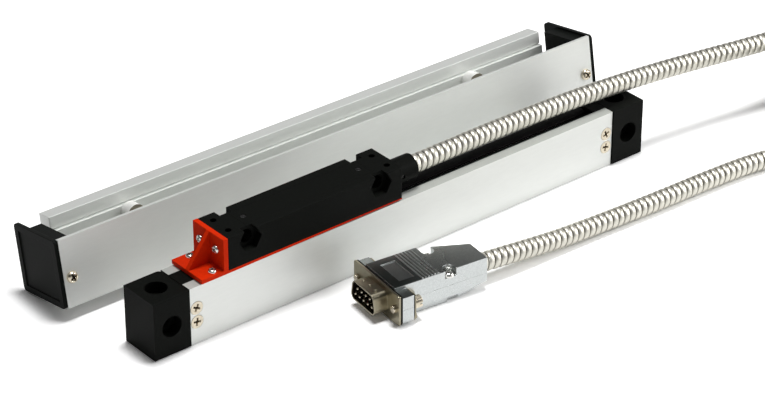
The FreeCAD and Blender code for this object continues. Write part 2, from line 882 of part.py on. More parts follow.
def make_bracket():
    # The red transport bracket: a tapered fork under the head, an upright against its end, a
    # foot over the housing and a gusset between them.
    body = new_body("transport_bracket")
    upright = head_left - s.upright_thick
    edge = upright - s.foot_length + s.upright_thick
    foot_top = strip_low + s.foot_thick
    pad(
        body,
        "XY",
        [rectangle(edge, -half_head, head_left, half_head)],
        strip_low,
        foot_top,
    )
    strip = [
        (head_left, strip_low),
        (head_right, head_bottom - s.strip_tip),
        (head_right, head_bottom),
        (head_left, head_bottom),
    ]
    pad(body, "XZ", [strip], -half_head, half_head)
    pad(body, "YZ", [rectangle(-half_head, foot_top, half_head, s.head_top)], upright, head_left)
    gusset = [(edge, foot_top), (upright, foot_top), (upright, s.head_top)]
    half = s.gusset_thick / 2
    pad(body, "XZ", [gusset], -half, half)
    fork = rectangle(
        s.head_centre - s.arm_length / 2 - 1, -s.fork_slot / 2, head_right + 1, s.fork_slot / 2
    )
    pocket(body, "XY", [fork], strip_low - 1, head_bottom + 1)
    foot_holes = [
        circle(edge + s.foot_screw_inset, way * s.foot_screw_pitch / 2, s.pan_shank / 2 + s.fit_gap)
        for way in (-1, 1)
    ]
    pocket(body, "XY", foot_holes, strip_low - 1, foot_top + 1)
    end_holes = [
        circle(
            way * s.end_screw_pitch / 2,
            s.head_top - s.end_screw_drop,
            s.pan_shank / 2 + s.fit_gap,
        )
        for way in (-1, 1)
    ]
    pocket(body, "YZ", end_holes, upright - 1, head_left)
    return body


def make_bracket_screws():
    radius, tall = s.pan_head.number / 2, s.pan_tall.number
    shank = s.pan_shank.number / 2 - s.fit_gap.number / 2
    edge = (head_left - s.foot_length + s.foot_screw_inset).number
    foot_top = (strip_low + s.foot_thick).number
    upright = (head_left - s.upright_thick).number
    level = (s.head_top - s.end_screw_drop).number
    short = pan_screw(radius, tall, shank, s.foot_thick.number)
    long = pan_screw(radius, tall, shank, s.pan_long.number)
    half_foot, half_end = s.foot_screw_pitch.number / 2, s.end_screw_pitch.number / 2
    placed = [turned(short, (edge, way * half_foot, foot_top), (0, 0, 1)) for way in (-1, 1)]
    placed += [turned(long, (upright, way * half_end, level), (-1, 0, 0)) for way in (-1, 1)]
    return group("bracket_screws", placed)


def make_carriage_arm():
    # The thin blade between the lips, from the head down to the carriage.
    body = new_body("carriage_arm")
    half_long = s.arm_length / 2
    half_thick = s.arm_thick / 2
    foot_top = carriage_top + s.arm_foot_thick
    foot = rectangle(
        s.head_centre - half_long,
        -s.arm_foot_width / 2,
        s.head_centre + half_long,
        s.arm_foot_width / 2,
    )
    blade = rectangle(
        s.head_centre - half_long, -half_thick, s.head_centre + half_long, half_thick
    )
    pad(body, "XY", [foot], carriage_top, foot_top)
    pad(body, "XY", [blade], foot_top, head_bottom)
    return body


def roller_stations():
    # The five guide rollers: name, axis letter and the middle of the roller's low face.
    centre = s.head_centre
    half_upper, half_edge = s.upper_roller_pitch / 2, s.edge_roller_pitch / 2
    return [
        ("guide_bearing_1", "Z", centre - half_upper, face_axis, s.upper_roller_level),
        ("guide_bearing_2", "Z", centre + half_upper, face_axis, s.upper_roller_level),
        ("guide_bearing_3", "Z", centre, face_axis, s.lower_roller_level),
        ("guide_bearing_4", "Y", centre - half_edge, s.glass_face, edge_axis),
        ("guide_bearing_5", "Y", centre + half_edge, s.glass_face, edge_axis),
    ]


def make_carriage():
    # The scanning carriage: a plate before the glass, a bridge over it, a leg behind it,
    # and an ear for each roller's pin.
    body = new_body("scan_carriage")
    centre = s.head_centre
    half_long, half_leg = s.carriage_length / 2, s.leg_length / 2
    back_outer = -front_outer
    plate = rectangle(centre - half_long, front_outer, centre + half_long, front_inner)
    pad(body, "XY", [plate], s.carriage_low, bridge_under)
    bridge = rectangle(centre - half_long, front_outer, centre + half_long, back_outer)
    pad(body, "XY", [bridge], bridge_under, carriage_top)
    leg = rectangle(centre - half_leg, back_outer - s.carriage_wall, centre + half_leg, back_outer)
    pad(body, "XY", [leg], s.carriage_low, bridge_under)
    ear_half = s.pin_head_radius
    gap = s.fit_gap
    for name, axis, x, y, z in roller_stations():
        if axis == "Z":
            ear_low = z + s.bearing_wide + gap
            ear = rectangle(x - ear_half, front_inner, x + ear_half, y + s.pin_radius)
            pad(body, "XY", [ear], ear_low, ear_low + 0.8)
            pocket(body, "XY", [circle(x, y, roller_bore)], ear_low - 0.2, ear_low + 1)
        else:
            ear_low = y + s.bearing_wide + gap
            ear = rectangle(x - ear_half, z - ear_half, x + ear_half, bridge_under)
            pad(body, "XZ", [ear], ear_low, ear_low + 1)
            pocket(body, "XZ", [circle(x, z, roller_bore)], ear_low - 0.2, ear_low + 1.2)
    return body


def make_roller(name, axis, x, y, z):
    body = new_body(name)
    plane, low = ("XY", z) if axis == "Z" else ("XZ", y)
    v = y if axis == "Z" else z
    ring = [circle(x, v, s.bearing_radius), circle(x, v, roller_bore)]
    pad(body, plane, ring, low, low + s.bearing_wide)
    return body


def make_roller_pins():
    # Each pin has a head under its roller and its other end in the carriage's ear.
    head_radius, thick = s.pin_head_radius.number, s.pin_head_thick.number
    gap, wide = s.fit_gap.number, s.bearing_wide.number
    head = Part.makeCylinder(head_radius, thick, Vector(0, 0, -thick - gap))
    stem = Part.makeCylinder(s.pin_radius.number, wide + 2 * gap + 0.8, Vector(0, 0, -gap))
    pin = head.fuse(stem).removeSplitter()
    placed = []
    for name, axis, x, y, z in roller_stations():
        way = (0, 0, 1) if axis == "Z" else (0, 1, 0)
        placed.append(turned(pin, (x.number, y.number, z.number), way))
    return group("bearing_pins", placed)


def make_index_grating():
    body = new_body("index_grating")
    half = s.grating_length / 2
    back = s.glass_face - s.grating_gap
    outline = rectangle(s.head_centre - half, back - s.grating_thick, s.head_centre + half, back)
    pad(body, "XY", [outline], s.sensor_level, s.sensor_level + s.grating_tall)
    return body


def make_detector_board():
    body = new_body("detector_board")
    half = s.grating_length / 2
    chip_back = s.glass_face - s.grating_gap - s.grating_thick
    board_back = front_inner + s.board_thick
    top = s.sensor_level + s.grating_tall
    board = rectangle(
        s.head_centre - half - 4, front_inner, s.head_centre + half + 4, board_back
    )
    pad(body, "XY", [board], s.sensor_level, top + 1)
    chip = rectangle(s.head_centre - half, board_back, s.head_centre + half, chip_back)
    pad(body, "XY", [chip], s.sensor_level + 0.3, top)
    return body


def make_led_board():
    body = new_body("led_board")
    half = s.grating_length / 2
    back = -front_outer - s.carriage_wall
    front = back - s.board_thick
    board = rectangle(s.head_centre - half, front, s.head_centre + half, back)
    low, high = s.carriage_low + 1.4, s.sensor_level + s.grating_tall
    pad(body, "XY", [board], low, high)
    middle = s.sensor_level + s.grating_tall / 2
    lamps = [circle(s.head_centre + x, middle, 1.2) for x in (-4, 0, 4)]
    pad(body, "XZ", lamps, front - 0.4, front)
    return body


def route_wire(points):
    # Straight runs joined by tangent arcs, each as large as its two runs allow.
    points = [Vector(*point) for point in points]
    edges = []
    radii = []
    start = points[0]
    for before, corner, after in zip(points, points[1:], points[2:]):
        back = before.sub(corner)
        onward = after.sub(corner)
        shorter = min(back.Length, onward.Length)
        back.normalize()
        onward.normalize()
        turn = math.pi - back.getAngle(onward)
        cut = 0.45 * shorter
        radii.append(cut / math.tan(turn / 2))
        arc_start = corner.add(back * cut)
        arc_end = corner.add(onward * cut)
        bisector = back.add(onward).normalize()
        centre = corner.add(bisector * (radii[-1] / math.cos(turn / 2)))
        middle = centre.sub(bisector * radii[-1])
        edges.append(Part.LineSegment(start, arc_start).toShape())
        edges.append(Part.Arc(arc_start, middle, arc_end).toShape())
        start = arc_end
    edges.append(Part.LineSegment(start, points[-1]).toShape())
    return Part.Wire(edges), radii


def make_hose(label, points):
    wire, radii = route_wire(points)
    start = Vector(*points[0])
    way = Vector(*points[1]).sub(start)
    section = Part.Wire(Part.makeCircle(s.hose_radius.number, start, way))
    tube = wire.makePipeShell([section], True, True)
    expected = math.pi * s.hose_radius.number**2 * wire.Length
    print(f"{label}: length {wire.Length:.1f}, least radius {min(radii):.1f}")
    if abs(tube.Volume / expected - 1) > 0.01:
        raise RuntimeError(f"{label} has the wrong volume")
    feature = doc.addObject("Part::Feature", label)
    feature.Label = label
    feature.Shape = tube
    return feature


def head_route():
    # From the boss along over the scale, then across the coil's top to its inner turn.
    level = s.boss_level.number
    x, y = s.coil_x.number, s.coil_y.number
    over = s.coil_tall.number + s.hose_radius.number + 0.7
    return [
        (hose_start.number, 0, level),
        (32, 0.1, level + 0.4),
        (64, 0.4, level + 0.1),
        (94, -0.3, level - 0.3),
        (122, -2.0, level - 1.0),
        (150, -5.0, level - 2.0),
        (178, -9.4, over + 0.9),
        (x - 36, y + 33.6, over + 0.3),
        (x - 12, y + 34.4, over - 0.6),
        (x + 8, y + 30.5, over - 5.5),
    ]


def plug_route():
    # From the plug along the table to the coil's outer turn.
    place = plug_place()
    seat = Vector(
        (s.hood_length - s.hose_in_hood).number,
        s.plug_exit_side.number,
        s.plug_exit_level.number,
    )
    start = place.multVec(seat)
    lead = place.multVec(seat.add(Vector(12, 0, -0.2)))
    table = s.hose_radius.number
    x, y = s.coil_x.number, s.coil_y.number
    return [
        (start.x, start.y, start.z),
        (lead.x, lead.y, lead.z),
        (27.5, -42.1, table + 2.2),
        (45, -42.7, table + 0.6),
        (67, -43.6, table),
        (93, -45.2, table),
        (122, -45.9, table),
        (150, -48.4, table),
        (x - 69, y - 14.6, table),
        (x - 50, y - 31.0, table),
        (x - 28, y - 44.5, table),
    ]


def make_coil():
    body = new_body("hose_coil")
    ring = [circle(0, 0, s.coil_outer), circle(0, 0, s.coil_inner)]
    pad(body, "XY", ring, 0, s.coil_tall)
    round_edges(body, s.hose_radius, lambda edge: True)
    return body


def mouth_outline(inset):
    # The D-shaped mouth, wide below, as (y, z) points, with short sides round its corners.
    wide = s.mouth_half_wide - inset
    narrow = s.mouth_half_narrow - inset
    tall = s.mouth_half_tall - inset
    radius = s.mouth_corner - inset
    slant = math.atan((wide.number - narrow.number) / (2 * tall.number))
    low_y = wide - radius * ((1 + math.sin(slant)) / math.cos(slant))
    high_y = narrow - radius * ((1 - math.sin(slant)) / math.cos(slant))
    corners = (
        (low_y, radius - tall, -math.pi / 2, slant),
        (high_y, tall - radius, slant, math.pi / 2),
    )
    right = []
    for y, z, first, last in corners:
        for k in range(5):
            turn = first + (last - first) * k / 4
            right.append((y + radius * math.cos(turn), z + radius * math.sin(turn)))
    return right + [(-y, z) for y, z in reversed(right)]


def make_plug_shell():
    body = new_body("plug_shell")
    half_tall = s.shell_height / 2
    pad(body, "YZ", [mouth_outline(sized(0))], -s.mouth_deep, 0)
    plate = rectangle(-half_shell, -half_tall, half_shell, half_tall)
    pad(body, "YZ", [plate], 0, s.shell_sheet)

    def plate_corner(edge):
        return along(edge, Vector(1, 0, 0)) and abs(edge.CenterOfMass.y) > half_shell.number - 0.01

    round_edges(body, s.shell_sheet, plate_corner)
    inner = s.mouth_wall
    pocket(body, "YZ", [mouth_outline(inner)], -s.mouth_deep - 1, s.shell_sheet + 1)
    jack_hole = s.jack_radius + s.jack_play
    holes = [circle(way * half_jack, 0, jack_hole) for way in (-1, 1)]
    pocket(body, "YZ", holes, -1, s.shell_sheet + 1)
    dimples = [
        circle(-s.mouth_deep / 2, way * s.dimple_pitch, s.dimple_radius) for way in (-1, 0, 1)
    ]
    tall = s.mouth_half_tall
    pad(body, "XY", dimples, tall - 0.1, tall + s.dimple_tall)

    def dimple_rim(edge):
        return abs(edge.CenterOfMass.z - (tall + s.dimple_tall).number) < 0.01

    round_edges(body, s.dimple_round, dimple_rim)
    return body


def make_plug_insulator():
    body = new_body("plug_insulator")
    inner = s.mouth_wall + s.fit_gap
    pad(body, "YZ", [mouth_outline(inner)], -0.6, s.shell_sheet)
    half_tall = s.shell_height / 2 - 0.3
    plate = rectangle(-half_shell + 0.4, -half_tall, half_shell - 0.4, half_tall)
    pad(body, "YZ", [plate], s.shell_sheet, hood_front)
    rear = rectangle(
        -s.mouth_half_narrow, -s.mouth_half_tall + 0.7, s.mouth_half_narrow, s.mouth_half_tall - 0.7
    )
    pad(body, "YZ", [rear], hood_front, s.insulator_long)
    holes = [
        circle(y, z, s.contact_radius + s.fit_gap / 5) for y, z in contact_places()
    ]
    pocket(body, "YZ", holes, -1, s.insulator_long + 1)
    jack_hole = s.jack_radius + s.jack_play
    holes = [circle(way * half_jack, 0, jack_hole) for way in (-1, 1)]
    pocket(body, "YZ", holes, s.shell_sheet - 0.2, hood_front + 0.2)
    return body


def contact_places():
    # Four contacts above and five below.
    row = s.contact_rows / 2
    upper = [((k - 1.5) * s.contact_pitch, row) for k in range(4)]
    lower = [((k - 2) * s.contact_pitch, -row) for k in range(5)]
    return upper + lower


def make_plug_contacts():
    radius, tip = s.contact_radius.number, s.contact_tip.number
    long = tip + s.contact_tail.number
    pin = Part.makeCylinder(radius, long - radius, Vector(0, 0, 0))
    nose = Part.makeSphere(radius, Vector(0, 0, long - radius))
    pin = pin.fuse(nose).removeSplitter()
    tail = s.contact_tail.number
    placed = [turned(pin, (tail, y.number, z.number), (-1, 0, 0)) for y, z in contact_places()]
    return group("plug_contacts", placed)


def recess_places():
    # The two sunk seats of the hood's screws: x, y and the side that they open to.
    return [
        (s.recess_along, -s.hood_half_wide + 1.5, -1),
        (s.recess_along, s.hood_half_wide - 4.1, 1),
    ]


def seat_outline(x, y, way):
    # A gate in from the hood's side that ends in a half round of short straight sides.
    radius = s.recess_radius
    open_end = way * (s.hood_half_wide + 1)
    turns = [math.radians(22.5 * k) for k in range(9)]
    end = [(x - radius * math.cos(a), y - way * radius * math.sin(a)) for a in turns]
    return [(x - radius, open_end)] + end + [(x + radius, open_end)]


def make_hood(label, side):
    # One half of the die-cast hood. Side is 1 for the upper half and -1 for the lower.
    body = new_body(label)
    wide, tall = s.hood_half_wide, s.hood_half_tall
    low, high = (sized(0), tall) if side > 0 else (-tall, sized(0))
    outline = [
        (hood_front, -wide),
        (s.hood_length, -wide),
        (s.hood_length, s.hood_rear_left),
        (s.hood_shoulder + 5.6, wide - 2.4),
        (s.hood_shoulder, wide),
        (hood_front, wide),
    ]
    pad(body, "XY", [outline], low, high)
    ears = [
        rectangle(hood_front, y_low, ear_back, y_high)
        for y_low, y_high in ((-half_shell, -wide), (wide, half_shell))
    ]
    ear_low, ear_high = (sized(0), s.ear_half_tall) if side > 0 else (-s.ear_half_tall, sized(0))
    pad(body, "XY", ears, ear_low, ear_high)
    if side < 0:
        rise = [
            (s.hood_shoulder + 3, -tall - 1),
            (s.hood_length + 1, -tall - 1),
            (s.hood_length + 1, -tall + 3.6),
            (s.hood_shoulder + 3, -tall),
        ]
        pocket(body, "XZ", [rise], -wide - 1, wide + 1)
        notch = rectangle(s.notch_start, -tall - 1, s.notch_end, -tall + s.notch_tall)
        pocket(body, "XZ", [notch], -wide - 1, -wide + s.notch_deep)
    wall = s.hood_wall
    inner = wide - wall
    seat = s.recess_along
    round_half = s.recess_radius + s.hood_wall
    cavity = [
        (hood_front + wall, -inner),
        (seat - round_half, -inner),
        (seat - round_half, -inner + 3.6),
        (seat + round_half, -inner + 3.6),
        (seat + round_half, -inner),
        (s.hood_length - s.hose_in_hood - 0.4, -inner),
        (s.hood_length - s.hose_in_hood - 0.4, 0.6),
        (seat + round_half, 0.6),
        (seat - round_half, 0.6),
        (seat - round_half, inner),
        (hood_front + wall, inner),
    ]
    roof = tall - wall
    floor = roof if side > 0 else roof - 2.4
    span = (sized(0), roof) if side > 0 else (-floor, sized(0))
    pocket(body, "XY", [cavity], span[0], span[1])
    mouth = rectangle(-inner, -4.4 if side < 0 else 0, inner, 0 if side < 0 else 4.4)
    pocket(body, "YZ", [mouth], hood_front - 0.1, s.insulator_long + 0.5)
    hose = circle(s.plug_exit_side, s.plug_exit_level, hose_hole)
    pocket(body, "YZ", [hose], s.hood_length - s.hose_in_hood - 0.6, s.hood_length + 1)
    jack_hole = s.jack_radius + s.jack_play
    holes = [circle(way * half_jack, 0, jack_hole) for way in (-1, 1)]
    pocket(body, "YZ", holes, hood_front - 1, ear_back + 1)
    screw_hole = s.pan_shank / 2
    screw_holes = [circle(x, y, screw_hole) for x, y, way in recess_places()]
    reach = (sized(-1), tall + 1) if side > 0 else (-tall + 2.2, sized(1))
    pocket(body, "XY", screw_holes, reach[0], reach[1])
    if side > 0:
        add_hood_top(body)
    return body


def add_hood_top(body):
    # The upper half's screw seats, ribs and bare sunk field.
    wide, tall = s.hood_half_wide, s.hood_half_tall
    for x, y, way in recess_places():
        pocket(body, "XY", [seat_outline(x, y, way)], s.recess_level, tall + 1)
    label = rectangle(
        s.label_start, -s.label_half_wide, s.label_start + s.label_length, s.label_half_wide
    )
    pocket(body, "XY", [label], tall - s.label_deep, tall + 1)
    ribs = []
    for k in range(int(s.rib_count.number)):
        start = s.rib_start + k * s.rib_pitch
        ribs.append(rectangle(start, -wide + 0.4, start + s.rib_width, wide - 0.4))
    pad(body, "XY", ribs, tall, tall + s.rib_rise)


def make_hood_screws():
    screw = pan_screw(
        s.hood_screw_head.number, 1.5, s.pan_shank.number / 2 - 0.05, s.hood_screw_long.number
    )
    level = s.recess_level.number
    placed = [turned(screw, (x.number, y.number, level), (0, 0, 1)) for x, y, way in recess_places()]
    return group("hood_screws", placed)


def make_ferrule():
    # The crimped ring at the hose's end, inside the hood.
    body = new_body("hose_ferrule")
    far = s.hood_length - s.hose_in_hood - 0.5
    side, level = s.plug_exit_side, s.plug_exit_level
    ring = [circle(side, level, s.ferrule_radius), circle(side, level, s.ferrule_bore)]
    pad(body, "YZ", ring, far - s.ferrule_long, far)
    return body


def make_jack_clips():
    # The two spring plates between the ears and the jackscrews' heads, wider at the foot.
    near = ear_back + s.fit_gap
    low, high = -s.ear_half_tall - s.clip_drop, s.ear_half_tall - s.clip_drop
    outline = [
        (near, low),
        (near + s.clip_foot, low + s.clip_toe),
        (near + s.clip_gap + s.clip_top, -s.jack_head),
        (near + s.clip_gap + s.clip_top, high),
        (near + s.clip_gap, high),
        (near + s.clip_gap, -s.jack_head),
        (near, low),
    ]
    plates = []
    for way in (-1, 1):
        inner, outer = way * (s.hood_half_wide + s.fit_gap), way * (half_shell - s.fit_gap)
        side = min(inner.number, outer.number)
        points = [Vector(x.number, side, z.number) for x, z in outline]
        across = Vector(0, abs(outer.number - inner.number), 0)
        plate = Part.Face(Part.makePolygon(points)).extrude(across)
        radius = (s.jack_radius + s.jack_play).number
        start = Vector(hood_front.number, way * half_jack.number, 0)
        bore = Part.makeCylinder(radius, s.hood_shoulder.number, start, Vector(1, 0, 0))
        plates.append(plate.cut(bore))
    return group("jack_clips", plates)


def make_jackscrew(label, side):
    body = new_body(label)
    y = side * half_jack
    head = ear_back + s.clip_gap + s.clip_top + 2 * s.fit_gap
    pad(body, "YZ", [circle(y, 0, s.jack_radius)], -1.2, head)
    pad(body, "YZ", [circle(y, 0, s.jack_head)], head, head + s.jack_head_long)
    slot = rectangle(y - s.jack_head - 1, -0.4, y + s.jack_head + 1, 0.4)
    pocket(body, "YZ", [slot], head + s.jack_head_long - 1.2, head + s.jack_head_long + 1)
    return body


# The guard is drawn in its own frame: x along it, y from its back (0) to its front (below
# zero) and z up its front plate.

guard_front = -s.guard_deep
sheet_inside = guard_front + s.guard_sheet
cap_inside = s.cap_flange


def make_guard_cover():
    body = new_body("guard_cover")
    outline = [
        (guard_front, 0),
        (-s.fit_gap * 3, 0),
        (-s.fit_gap * 3, s.guard_sheet),
        (sheet_inside, s.guard_sheet),
        (sheet_inside, s.guard_tall),
        (guard_front, s.guard_tall),
    ]
    pad(body, "YZ", [outline], cap_inside, s.guard_length - cap_inside)
    holes = [circle(x, s.cap_screw_level, s.pan_shank / 2 + s.fit_gap) for x in cap_screw_x()]
    pocket(body, "XZ", holes, guard_front - 1, sheet_inside + 1)
    return body


def cap_screw_x():
    return [s.cap_screw_inset, s.guard_length - s.cap_screw_inset]


def make_guard_cap(label, side):
    # The end cap: a flange with a sunk field, and a block that plugs the cover's end.
    body = new_body(label)
    outer = sized(0) if side < 0 else s.guard_length
    inner = s.cap_flange if side < 0 else s.guard_length - s.cap_flange
    deep = cap_inside + s.cap_block if side < 0 else s.guard_length - cap_inside - s.cap_block
    flange = rectangle(guard_front, 0, 0, s.guard_tall)
    pad(body, "YZ", [flange], min_size(outer, inner), max_size(outer, inner))
    round_edges(body, s.cap_corner, lambda edge: along(edge, Vector(1, 0, 0)))
    border = s.cap_border
    field = rectangle(guard_front + border, border, -border, s.guard_tall - border)
    floor = s.cap_sunk if side < 0 else s.guard_length - s.cap_sunk
    if side < 0:
        pocket(body, "YZ", [field], outer - 1, floor)
    else:
        pocket(body, "YZ", [field], floor, outer + 1)
    block = rectangle(
        sheet_inside + s.fit_gap,
        s.guard_sheet + s.fit_gap,
        -s.rail_body + 1.2,
        s.guard_tall - s.cap_block_drop,
    )
    pad(body, "YZ", [block], min_size(inner, deep), max_size(inner, deep))
    x = s.cap_screw_inset if side < 0 else s.guard_length - s.cap_screw_inset
    hole = circle(x, s.cap_screw_level, s.pan_shank / 2 + s.fit_gap)
    pocket(body, "XZ", [hole], sheet_inside, sheet_inside + s.pan_long + 1)
    return body


def min_size(one, other):
    return one if one.number < other.number else other


def max_size(one, other):
    return other if one.number < other.number else one


def make_cap_screws():
    screw = pan_screw(
        s.cap_screw_head.number / 2,
        s.cap_screw_tall.number,
        s.pan_shank.number / 2,
        s.pan_long.number + s.guard_sheet.number,
    )
    level = s.cap_screw_level.number
    placed = [
        turned(screw, (x.number, guard_front.number, level), (0, -1, 0)) for x in cap_screw_x()
    ]
    return group("cap_screws", placed)


def make_guard_rail():
    # The backing rail: a plain bead along the top, a groove, and a body a little deeper.
    body = new_body("guard_rail")
    step = s.guard_tall - s.rail_bead_tall
    outline = [
        (0, s.guard_sheet),
        (-s.rail_body, s.guard_sheet),
        (-s.rail_body, step - s.rail_groove),
        (-s.rail_bead + 0.8, step - s.rail_groove),
        (-s.rail_bead + 0.8, step),
        (-s.rail_bead, step),
        (-s.rail_bead, s.guard_tall),
        (0, s.guard_tall),
    ]
    pad(body, "YZ", [outline], s.rail_start, s.guard_length - s.rail_end_gap)
    play = s.rail_bolt_radius + s.rail_bolt_play
    holes = [circle(x, s.rail_bolt_level, play) for x in rail_bolt_x()]
    pocket(body, "XZ", holes, -s.rail_body - 1, 1)
    return body


def rail_bolt_x():
    first = s.rail_start + s.rail_bolt_first
    return [first, first + s.rail_bolt_pitch]


def make_rail_bolts():
    screw = socket_screw(
        s.rail_bolt_head.number,
        s.rail_bolt_tall.number,
        s.rail_bolt_radius.number,
        s.rail_body.number - 0.3,
    )
    level = s.rail_bolt_level.number
    face = -s.rail_body.number
    placed = [turned(screw, (x.number, face, level), (0, -1, 0)) for x in rail_bolt_x()]
    return group("rail_bolts", placed)


def build_scale():
    node(make_housing())
    for side, word in ((-1, "left"), (1, "right")):
        node(make_end_block(f"end_block_{word}", side))
        node(make_gasket(f"end_gasket_{word}", side))
    node(make_wall_screws())
    node(make_lip_seal("lip_seal_front", -1))
    node(make_lip_seal("lip_seal_rear", 1))
    node(make_glass())
    node(make_glass_bed())


def build_head():
    node(make_head())
    node(make_head_lid())
    node(make_lid_screws())
    node(make_head_board())
    node(make_cable_boss())
    node(make_boss_set_screw())
    node(make_bracket())
    node(make_bracket_screws())
    node(make_carriage_arm())
    node(make_carriage())
    for station in roller_stations():
        node(make_roller(*station))
    node(make_roller_pins())
    node(make_index_grating())
    node(make_detector_board())
    node(make_led_board())


def build_cable():
    node(make_hose("hose_from_head", head_route()))
    node(make_coil(), Placement(Vector(s.coil_x.number, s.coil_y.number, 0), Rotation()))
    node(make_hose("hose_to_plug", plug_route()))
    place = plug_place()
    node(make_plug_shell(), place)
    node(make_plug_insulator(), place)
    node(make_plug_contacts(), place)
    node(make_hood("plug_hood_upper", 1), place)
    node(make_hood("plug_hood_lower", -1), place)
    node(make_hood_screws(), place)
    node(make_ferrule(), place)
    node(make_jack_clips(), place)
    node(make_jackscrew("jackscrew_near", -1), place)
    node(make_jackscrew("jackscrew_far", 1), place)


def build_guard():
    place = guard_place()
    node(make_guard_cover(), place)
    node(make_guard_cap("guard_cap_left", -1), place)
    node(make_guard_cap("guard_cap_right", 1), place)
    node(make_cap_screws(), place)
    node(make_guard_rail(), place)
    node(make_rail_bolts(), place)


build_scale()
build_head()
build_cable()
build_guard()
doc.recompute()

for thing in doc.Objects:
    if any(word in thing.State for word in ("Invalid", "Error")):
        raise RuntimeError(f"{thing.Label} failed: {thing.State}")
for thing in nodes:
    if thing.Shape.isNull() or not thing.Shape.isValid():
        raise RuntimeError(f"{thing.Label} has no valid shape")

os.makedirs("parts", exist_ok=True)
for thing in nodes:
    thing.Shape.exportStep(f"parts/{thing.Label}.step")
print(len(nodes), "sub-parts written")
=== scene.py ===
import json
import math

import bmesh
import bpy
import numpy as np
from mathutils import Matrix, Vector


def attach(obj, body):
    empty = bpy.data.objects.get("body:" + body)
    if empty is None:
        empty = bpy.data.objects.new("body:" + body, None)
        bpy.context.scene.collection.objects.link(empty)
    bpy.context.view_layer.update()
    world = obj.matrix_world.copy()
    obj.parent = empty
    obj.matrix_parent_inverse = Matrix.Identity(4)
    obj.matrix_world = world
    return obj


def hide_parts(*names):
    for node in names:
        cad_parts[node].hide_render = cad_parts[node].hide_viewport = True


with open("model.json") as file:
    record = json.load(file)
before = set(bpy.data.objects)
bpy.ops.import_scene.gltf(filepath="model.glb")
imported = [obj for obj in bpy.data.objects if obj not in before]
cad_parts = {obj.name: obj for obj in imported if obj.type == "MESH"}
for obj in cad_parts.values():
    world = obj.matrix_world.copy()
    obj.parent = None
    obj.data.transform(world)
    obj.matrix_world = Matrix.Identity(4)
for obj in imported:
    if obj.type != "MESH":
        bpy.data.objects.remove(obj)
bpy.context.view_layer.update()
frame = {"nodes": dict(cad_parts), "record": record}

mm = 0.001
scene = bpy.context.scene
scene.view_settings.view_transform = "Standard"
nodes = frame["nodes"]


# Camera, at the photo's own viewpoint. Eye in mm, the three ways as unit vectors.

camera = {
    "eye": (-615.68, -740.94, 587.39),
    "right": (0.7727, -0.6348, 0.0),
    "up": (0.3229, 0.3931, 0.8609),
    "back": (-0.5465, -0.6652, 0.5087),
    "lens": 141.03,
    "sensor": 36.0,
    "clip": (0.05, 30.0),
}


def placeCamera(view):
    data = bpy.data.cameras.new("photoCamera")
    data.lens = view["lens"]
    data.sensor_width = view["sensor"]
    data.clip_start, data.clip_end = view["clip"]
    holder = bpy.data.objects.new("photoCamera", data)
    scene.collection.objects.link(holder)
    turn = Matrix((view["right"], view["up"], view["back"])).transposed().normalized()
    holder.matrix_world = Matrix.Translation(Vector(view["eye"]) * mm) @ turn.to_4x4()
    scene.camera = holder


placeCamera(camera)
print("stage: camera placed")


# Node helpers shared by all finishes

noiseRough = 0.55


def newMaterial(name):
    material = bpy.data.materials.new(name)
    material.use_nodes = True
    tree = material.node_tree
    shader = next(n for n in tree.nodes if n.type == "BSDF_PRINCIPLED")
    return material, tree, shader


def addNode(tree, kind, **settings):
    node = tree.nodes.new(kind)
    for key, value in settings.items():
        setattr(node, key, value)
    return node


def objectPattern(tree, scale=(1, 1, 1)):
    coords = addNode(tree, "ShaderNodeTexCoord")
    mapping = addNode(tree, "ShaderNodeMapping")
    mapping.inputs["Scale"].default_value = scale
    tree.links.new(coords.outputs["Object"], mapping.inputs["Vector"])
    return mapping.outputs["Vector"]


def addNoise(tree, vector, scale, detail=3.0):
    noise = addNode(tree, "ShaderNodeTexNoise")
    noise.inputs["Scale"].default_value = scale
    noise.inputs["Detail"].default_value = detail
    noise.inputs["Roughness"].default_value = noiseRough
    tree.links.new(vector, noise.inputs["Vector"])
    return noise.outputs["Fac"]


def addRamp(tree, factor, stops):
    ramp = addNode(tree, "ShaderNodeValToRGB")
    elements = ramp.color_ramp.elements
    while len(elements) < len(stops):
        elements.new(0.5)
    for element, (place, colour) in zip(elements, stops):
        element.position = place
        element.color = (*colour, 1.0)
    tree.links.new(factor, ramp.inputs["Fac"])
    return ramp.outputs["Color"]


def addRange(tree, factor, low, high):
    span = addNode(tree, "ShaderNodeMapRange")
    span.inputs["To Min"].default_value = low
    span.inputs["To Max"].default_value = high
    tree.links.new(factor, span.inputs["Value"])
    return span.outputs["Result"]


def addBump(tree, shader, height, distance):
    bump = addNode(tree, "ShaderNodeBump")
    bump.inputs["Distance"].default_value = distance
    bump.inputs["Strength"].default_value = 1.0
    tree.links.new(height, bump.inputs["Height"])
    tree.links.new(bump.outputs["Normal"], shader.inputs["Normal"])


def tint(colour, factor):
    return tuple(min(1.0, c * factor) for c in colour)


